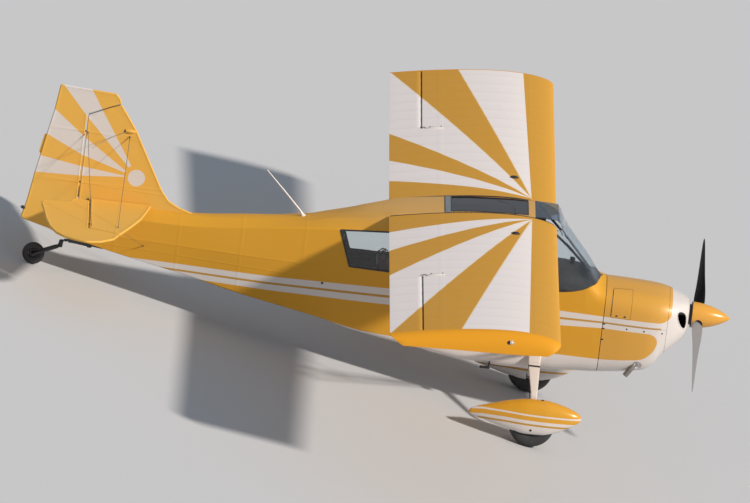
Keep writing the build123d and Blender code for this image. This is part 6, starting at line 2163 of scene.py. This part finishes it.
def cowl_details(white, dark, paint, bright):
    screws = Shape()
    studs = [(-0.622, -0.112), (-0.453, -0.115), (-0.276, -0.120)]
    rivets(screws, [skin_spot(cowl_ring, x, z, side) for x, z in studs for side in (-1, 1)], 0.0085, 0.003)
    rows = [(-0.838, z) for z in steps(-0.50, 0.14, 9)]
    for x in steps(-0.27, -0.82, 9):
        rows += [(x, COWL_SPLIT_Z + SCREW_INSET), (x, COWL_SPLIT_Z - SCREW_INSET)]
    for z in steps(-0.30, 0.10, 6):
        rows += [(BOWL_END_X + SCREW_INSET, z), (BOWL_END_X - SCREW_INSET, z)]
    spots = [skin_spot(cowl_ring, x, z, side) for side in (1, -1) for x, z in rows]
    rivets(screws, spots, 0.0040, 0.0012, 1)
    screws.piece("cowl_screws", "airframe", "dark_steel", (dark, paint))

    latches = Shape()
    for side in (1, -1):
        for z in (-0.245, -0.135, -0.090):
            spot, half = skin_spot(cowl_ring, -0.848, z, side)[0], Vector((0.013, 0.002, 0.007))
            latches.block(spot - half, spot + half, 0, 0.0015)
    for x in (-0.735, -0.655):
        spot = skin_spot(cowl_ring, x, 0.006, -1)[0]
        latches.block(spot - Vector((0.009, 0.003, 0.008)), spot + Vector((0.009, 0.002, 0.008)), 0, 0.002)
    path = [skin_spot(cowl_ring, -0.790, z, -1)[0] for z in steps(-0.005, 0.228, 12)]
    latches.loft(tube_rings(path, 0.0036, 8))
    latches.piece("cowl_latches", "airframe", "dark_steel", dark)

    # white recess round the exhaust
    recess = Shape().lathe(bowl_profile(0.074)[8:] + bowl_profile(0.0705)[:7:-1], *EXHAUST_DIMPLE, 40)
    made = recess.piece("exhaust_recess", "airframe", "cowl_paint", white)
    carve(made, cowl_solid(-0.30, -0.80, -0.0015), "INTERSECT")
    shade(made.data)

    tubes = Shape()
    tubes.pipe([(-0.845, 0.10, -0.57), (-0.850, 0.10, -0.630), (-0.872, 0.10, -0.655)], 0.007, 0.0055, 14)
    tubes.pipe(
        [(-0.850, -0.05, -0.57), (-0.856, -0.05, -0.632), (-0.874, -0.05, -0.652)], 0.005, 0.0038, 14
    )
    tubes.piece("breather_pipes", "airframe", "dark_steel", bright)


def body_details(dark, white, steel, bright, rubber_paint, paint):
    parts = Shape()
    for side in (1, -1):
        spot, out = skin_spot(hull_ring, -3.60, -0.030, side)
        parts.turned([(-0.003, 0.012), (0.001, 0.012), (0.0018, 0.010), (0.0012, 0.004)], spot, out, 24)
    spot = Vector((-1.377, -0.350, -0.560))
    parts.tube(
        [spot + Vector((0, 0, 0.05)), spot, spot - Vector((0.004, 0, 0.02))], [0.007, 0.007, 0.006], 12
    )
    spot = Vector((-1.377, -0.18, -0.642))
    parts.turned([(-0.004, 0.016), (0.006, 0.012), (0.014, 0.009)], spot, (0, 0, -1), 16)
    parts.piece("ports_and_drains", "airframe", "dark_steel", dark)

    step = Shape()
    step.tube(
        [(-1.895, -0.33, -0.555), (-1.900, -0.352, -0.610), (-1.905, -0.365, -0.662)],
        [0.012, 0.010, 0.009], 14
    )
    rings = []
    for x in (-1.990, -1.984, -1.896, -1.890):
        inset = 0.004 if x in (-1.990, -1.890) else 0.0
        rings.append(
            rounded(
                [
                    (x, -0.385 + inset, -0.672), (x, -0.320 - inset, -0.672), (x, -0.320 - inset, -0.662),
                    (x, -0.385 + inset, -0.662)
                ],
                [0.003] * 4, 3
            )
        )
    step.loft(rings)
    for k in range(6):
        x = -1.982 + 0.015 * k
        step.block((x, -0.383, -0.6635), (x + 0.007, -0.322, -0.6600), 1, 0.001)
    step.piece("step_plate", "airframe", "dark_steel", (steel, rubber_paint), ("boarding_step",))

    whip = Shape()
    base = [
        (-3.845, 0, 0.510), (-3.850, 0, 0.530), (-3.857, 0, 0.545), (-3.869, 0, 0.564), (-3.890, 0, 0.590)
    ]
    whip.tube(base, [0.046, 0.034, 0.021, 0.013, 0.0095], 24, squash=0.7)
    whip.tube([(-3.880, 0, 0.578), (-4.05, 0, 0.752), (-4.248, 0, 0.948)], [0.0095, 0.0075, 0.0045], 14)
    whip.lathe(
        [(-0.002, 0), (-0.002, 0.006), (0.004, 0.0065), (0.007, 0.004), (0.008, 0)], (-4.248, 0, 0.948),
        (-0.7, 0, 0.7), 14
    )
    whip.piece("rear_antenna", "airframe", "antenna_white", white, ("antenna",))
    bent = Shape()
    bent.turned(
        [(-0.004, 0.016), (0.004, 0.014), (0.010, 0.007), (0.014, 0.004)], (-1.827, -0.285, 0.866), UP, 20
    )
    bent.tube(
        [
            (-1.827, -0.285, 0.872), (-1.836, -0.290, 0.922), (-1.847, -0.294, 0.946),
            (-1.890, -0.300, 0.966), (-1.965, -0.305, 0.988), (-2.025, -0.308, 1.003)
        ],
        0.0028, 8
    )
    bent.piece("roof_whip", "airframe", "antenna_white", dark)

    vee = Shape()
    for side in (1, -1):
        path = [
            (-5.640 - 0.27 * t - 0.06 * t * t, side * (0.020 + 0.38 * t), 1.178 - 0.105 * t * t)
            for t in steps(0, 1, 10)
        ]
        vee.tube(path, [0.0036] + [0.0026] * 9 + [0.0018], 8)
    rings = []
    for x, size in (
        (-5.548, 0.004), (-5.552, 0.012), (-5.566, 0.022), (-5.592, 0.030), (-5.618, 0.033),
        (-5.642, 0.030), (-5.658, 0.026)
    ):
        rings.append([(x, size * c, 1.180 + 0.75 * size * s) for c, s in circle(24)])
    vee.loft(rings, 2)
    vee.turned([(0, 0.021), (0.010, 0.018), (0.016, 0.010)], (-5.658, 0, 1.180), BACK, 20, 1)
    vee.piece("radio_vee", "airframe", "antenna_white", (bright, dark, paint))

    handle = Shape()
    spot, out = skin_spot(hull_ring, -2.380, 0.060, -1)
    handle.turned([(-0.002, 0.020), (0.004, 0.020), (0.008, 0.016), (0.020, 0.012)], spot, out, 28)
    handle.block(spot + Vector((-0.010, -0.026, -0.010)), spot + Vector((0.085, -0.016, 0.010)), 0, 0.005)
    handle.piece("door_handle", "door", "white_metal", bright)
    fixed, moving = Shape(), Shape()
    half, gap, radius = 0.0145, 0.001, 0.006
    x, y, _ = level_joint("door_hinge")
    for z in (-0.250, 0.090):
        moving.tube([(x, y, z - half), (x, y, z + half)], radius, 16)
        moving.block((x - 0.070, y, z - half), (x - 0.002, y + 0.013, z + half), 0, 0.003)
        for a, b in ((z + half + gap, z + 0.030), (z - 0.030, z - half - gap)):
            fixed.tube([(x, y, a), (x, y, b)], radius, 16)
            fixed.block((x + 0.002, y, a), (x + 0.045, y + 0.013, b), 0, 0.003)
        fixed.tube([(x, y, z - 0.031), (x, y, z + 0.031)], 0.003, 12)
    moving.piece("door_hinge_leaves", "door", "dark_steel", steel)
    fixed.piece("door_hinge_posts", "airframe", "dark_steel", steel)


# ---- floor and light


def stage():
    """A plain pale floor, one soft lamp and an even sky."""
    mesh = bpy.data.meshes.new("floor")
    size = 400.0
    mesh.from_pydata(
        [(-size, -size, 0), (size, -size, 0), (size, size, 0), (-size, size, 0)], [], [(0, 1, 2, 3)]
    )
    paint = Paint("floor_paint", (0.50, 0.52, 0.54)).rough(0.7, 0.9, 3)
    floor = new_object("floor", mesh, paint.done())
    floor.location.z = -0.001

    lamp = bpy.data.lights.new("sun", "SUN")
    lamp.energy = 4.0
    lamp.angle = math.radians(4)
    lamp.color = (1.0, 0.90, 0.81)
    sun = new_object("sun", lamp)
    sun.rotation_euler = Vector((0.62, -0.44, 0.65)).to_track_quat("Z", "Y").to_euler()

    world = bpy.data.worlds.new("sky")
    world.use_nodes = True
    world.node_tree.nodes["Background"].inputs["Color"].default_value = (0.80, 0.88, 1.0, 1)
    world.node_tree.nodes["Background"].inputs["Strength"].default_value = 0.40
    bpy.context.scene.world = world
    bpy.context.scene.view_settings.view_transform = "Standard"


# ---- the aircraft

make_camera()
stage()

dark_paint = rubber("black_trim", (0.02, 0.02, 0.022), (0.35, 0.55)).done()
steel = metal("dark_steel", (0.09, 0.09, 0.095), (0.3, 0.5)).done()
bright = metal("bright_metal", (0.62, 0.62, 0.62), (0.25, 0.42)).done()
white_paint = enamel("white_enamel").done()
tyre_paint = rubber("tyre_rubber").done()
glow = Paint("lamp_lens", (0.85, 0.85, 0.82), Transmission_Weight=0.6, Roughness=0.05).done()

wing_top = wing_cloth("wing_top_fabric", True)
wing_under = wing_cloth("wing_under_fabric", False)
tip_paint = doped("tip_cap_paint", TIP_GLOW).done()
for side, name in SIDES:
    wing(side, name, (wing_top, wing_under, dark_paint, tip_paint))
    aileron(side, name, (wing_top, wing_under))

hull_paint = hull_cloth()
lining = rubber("cabin_lining", (0.05, 0.045, 0.045), (0.6, 0.8)).done()
clear = Paint("clear_glass", (0.90, 0.95, 0.97), Transmission_Weight=1.0, IOR=1.45, Roughness=0.02)
band = clear.z.soft(0.76, 0.85)
clear = clear.colour(clear.mix(band, (0.86, 0.92, 0.95), (0.26, 0.34, 0.46))).done()
smoked = Paint("smoked_glass", (0.06, 0.04, 0.045), Transmission_Weight=0.85, IOR=1.45, Roughness=0.05)
smoked = smoked.rough(0.04, 0.10, 4).done()
fuselage(hull_paint, lining, clear, smoked, dark_paint)

cowl = enamel("cowl_paint", WHITE, (0.36, 0.48))
cowl.colour(worn(cowl, hull_colours(cowl), 0.06))
cowl_paint = cowl.done()
cowling(cowl_paint, dark_paint)
alloy = metal("cast_alloy", (0.30, 0.30, 0.31)).done()
fins = metal("cylinder_fins", (0.16, 0.16, 0.17)).done()
engine(alloy, fins, metal("exhaust_steel", (0.42, 0.39, 0.36), (0.35, 0.6)).done())

spinner_gloss = enamel("spinner_paint", ORANGE, (0.20, 0.28)).done()
blade_grey = enamel("blade_front", (0.17, 0.17, 0.18), (0.3, 0.45)).done()
blade_black = rubber("blade_back", (0.003, 0.0035, 0.005), (0.5, 0.65), Specular_IOR_Level=0.12).done()
propeller(spinner_gloss, dark_paint, blade_grey, blade_black, steel)

fin_paint = tail_cloth(
    "fin_fabric", True,
    [
        ((-6.035, 0.62), (-5.24, 0.63)), ((-6.035, 1.13), (-5.50, 1.13)), ((-6.06, 0.62), (-6.49, 0.64)),
        ((-6.06, 1.13), (-6.40, 1.15))
    ]
)
flat_paint = tail_cloth(
    "stabilizer_fabric", False,
    [
        ((-5.33, 0.36), (-6.40, 0.36)), ((-5.40, 0.72), (-6.40, 0.72)), ((-5.5, 1.02), (-6.40, 1.02)),
        ((-5.62, 0.02), (-5.66, 1.15))
    ]
)
tail(fin_paint, flat_paint, steel, dark_paint, glow, metal("wire", (0.30, 0.30, 0.31), (0.4, 0.55)).done())

pant_skin = pant_paint()
for side, name in SIDES:
    main_gear(side, name, pant_skin, white_paint, tyre_paint, bright, steel, dark_paint)
    struts(side, name, enamel(f"strut_paint_{side}", YELLOW).done(), steel)
tail_gear(steel, tyre_paint, steel)

seat_cloth = cloth_paint(
    "seat_cloth", (0.16, 0.05, 0.04), (0.75, 0.92, 30),
    lambda paint: weave(paint.x, paint.y, 0.0032, 0.00018) + weave(paint.y, paint.z, 0.0032, 0.00018),
    (60, 4), (0.14, 0.042, 0.035), (0.22, 0.08, 0.06), Sheen_Weight=0.3,
)
webbing = cloth_paint(
    "webbing", (0.05, 0.05, 0.055), (0.7, 0.85, 50),
    lambda paint: weave(paint.x, paint.z, 0.0026, 0.0002),
    (90, 3), (0.04, 0.04, 0.045), (0.09, 0.09, 0.095),
)
piping = rubber("seat_piping", (0.10, 0.03, 0.03)).done()
carpet = cloth_paint(
    "carpet", (0.06, 0.055, 0.055), (0.85, 0.98, 20), lambda paint: paint.noise(700, 2) * 0.0015,
    (200, 3), (0.045, 0.04, 0.04), (0.10, 0.09, 0.085), Sheen_Weight=0.2,
)
board = rubber("panel_plastic", (0.035, 0.035, 0.038), (0.5, 0.7)).done()
faces = [
    dial_face("dial_speed", 40, [(0.9, 0.026, 0.0012)]),
    dial_face("dial_height", 50, [(2.2, 0.027, 0.0010), (-0.6, 0.018, 0.0016)]),
    dial_face("dial_turn", 20, [(0.1, 0.025, 0.0014)]),
]
seat("front", -1.960, 0.590, seat_cloth, piping, steel, webbing)
seat("rear", -2.790, 0.530, seat_cloth, piping, steel, webbing)
instrument_panel(
    board, board, dark_paint, faces, (dark_paint, rubber("red_knob", (0.35, 0.02, 0.015)).done())
)
cabin_fittings(steel, dark_paint, carpet)

for side, name in SIDES:
    wing_details(side, name, white_paint, dark_paint, glow)
roof_details(dark_paint, bright)
cowl_details(white_paint, dark_paint, cowl_paint, bright)
body_details(dark_paint, white_paint, steel, bright, tyre_paint, fin_paint)
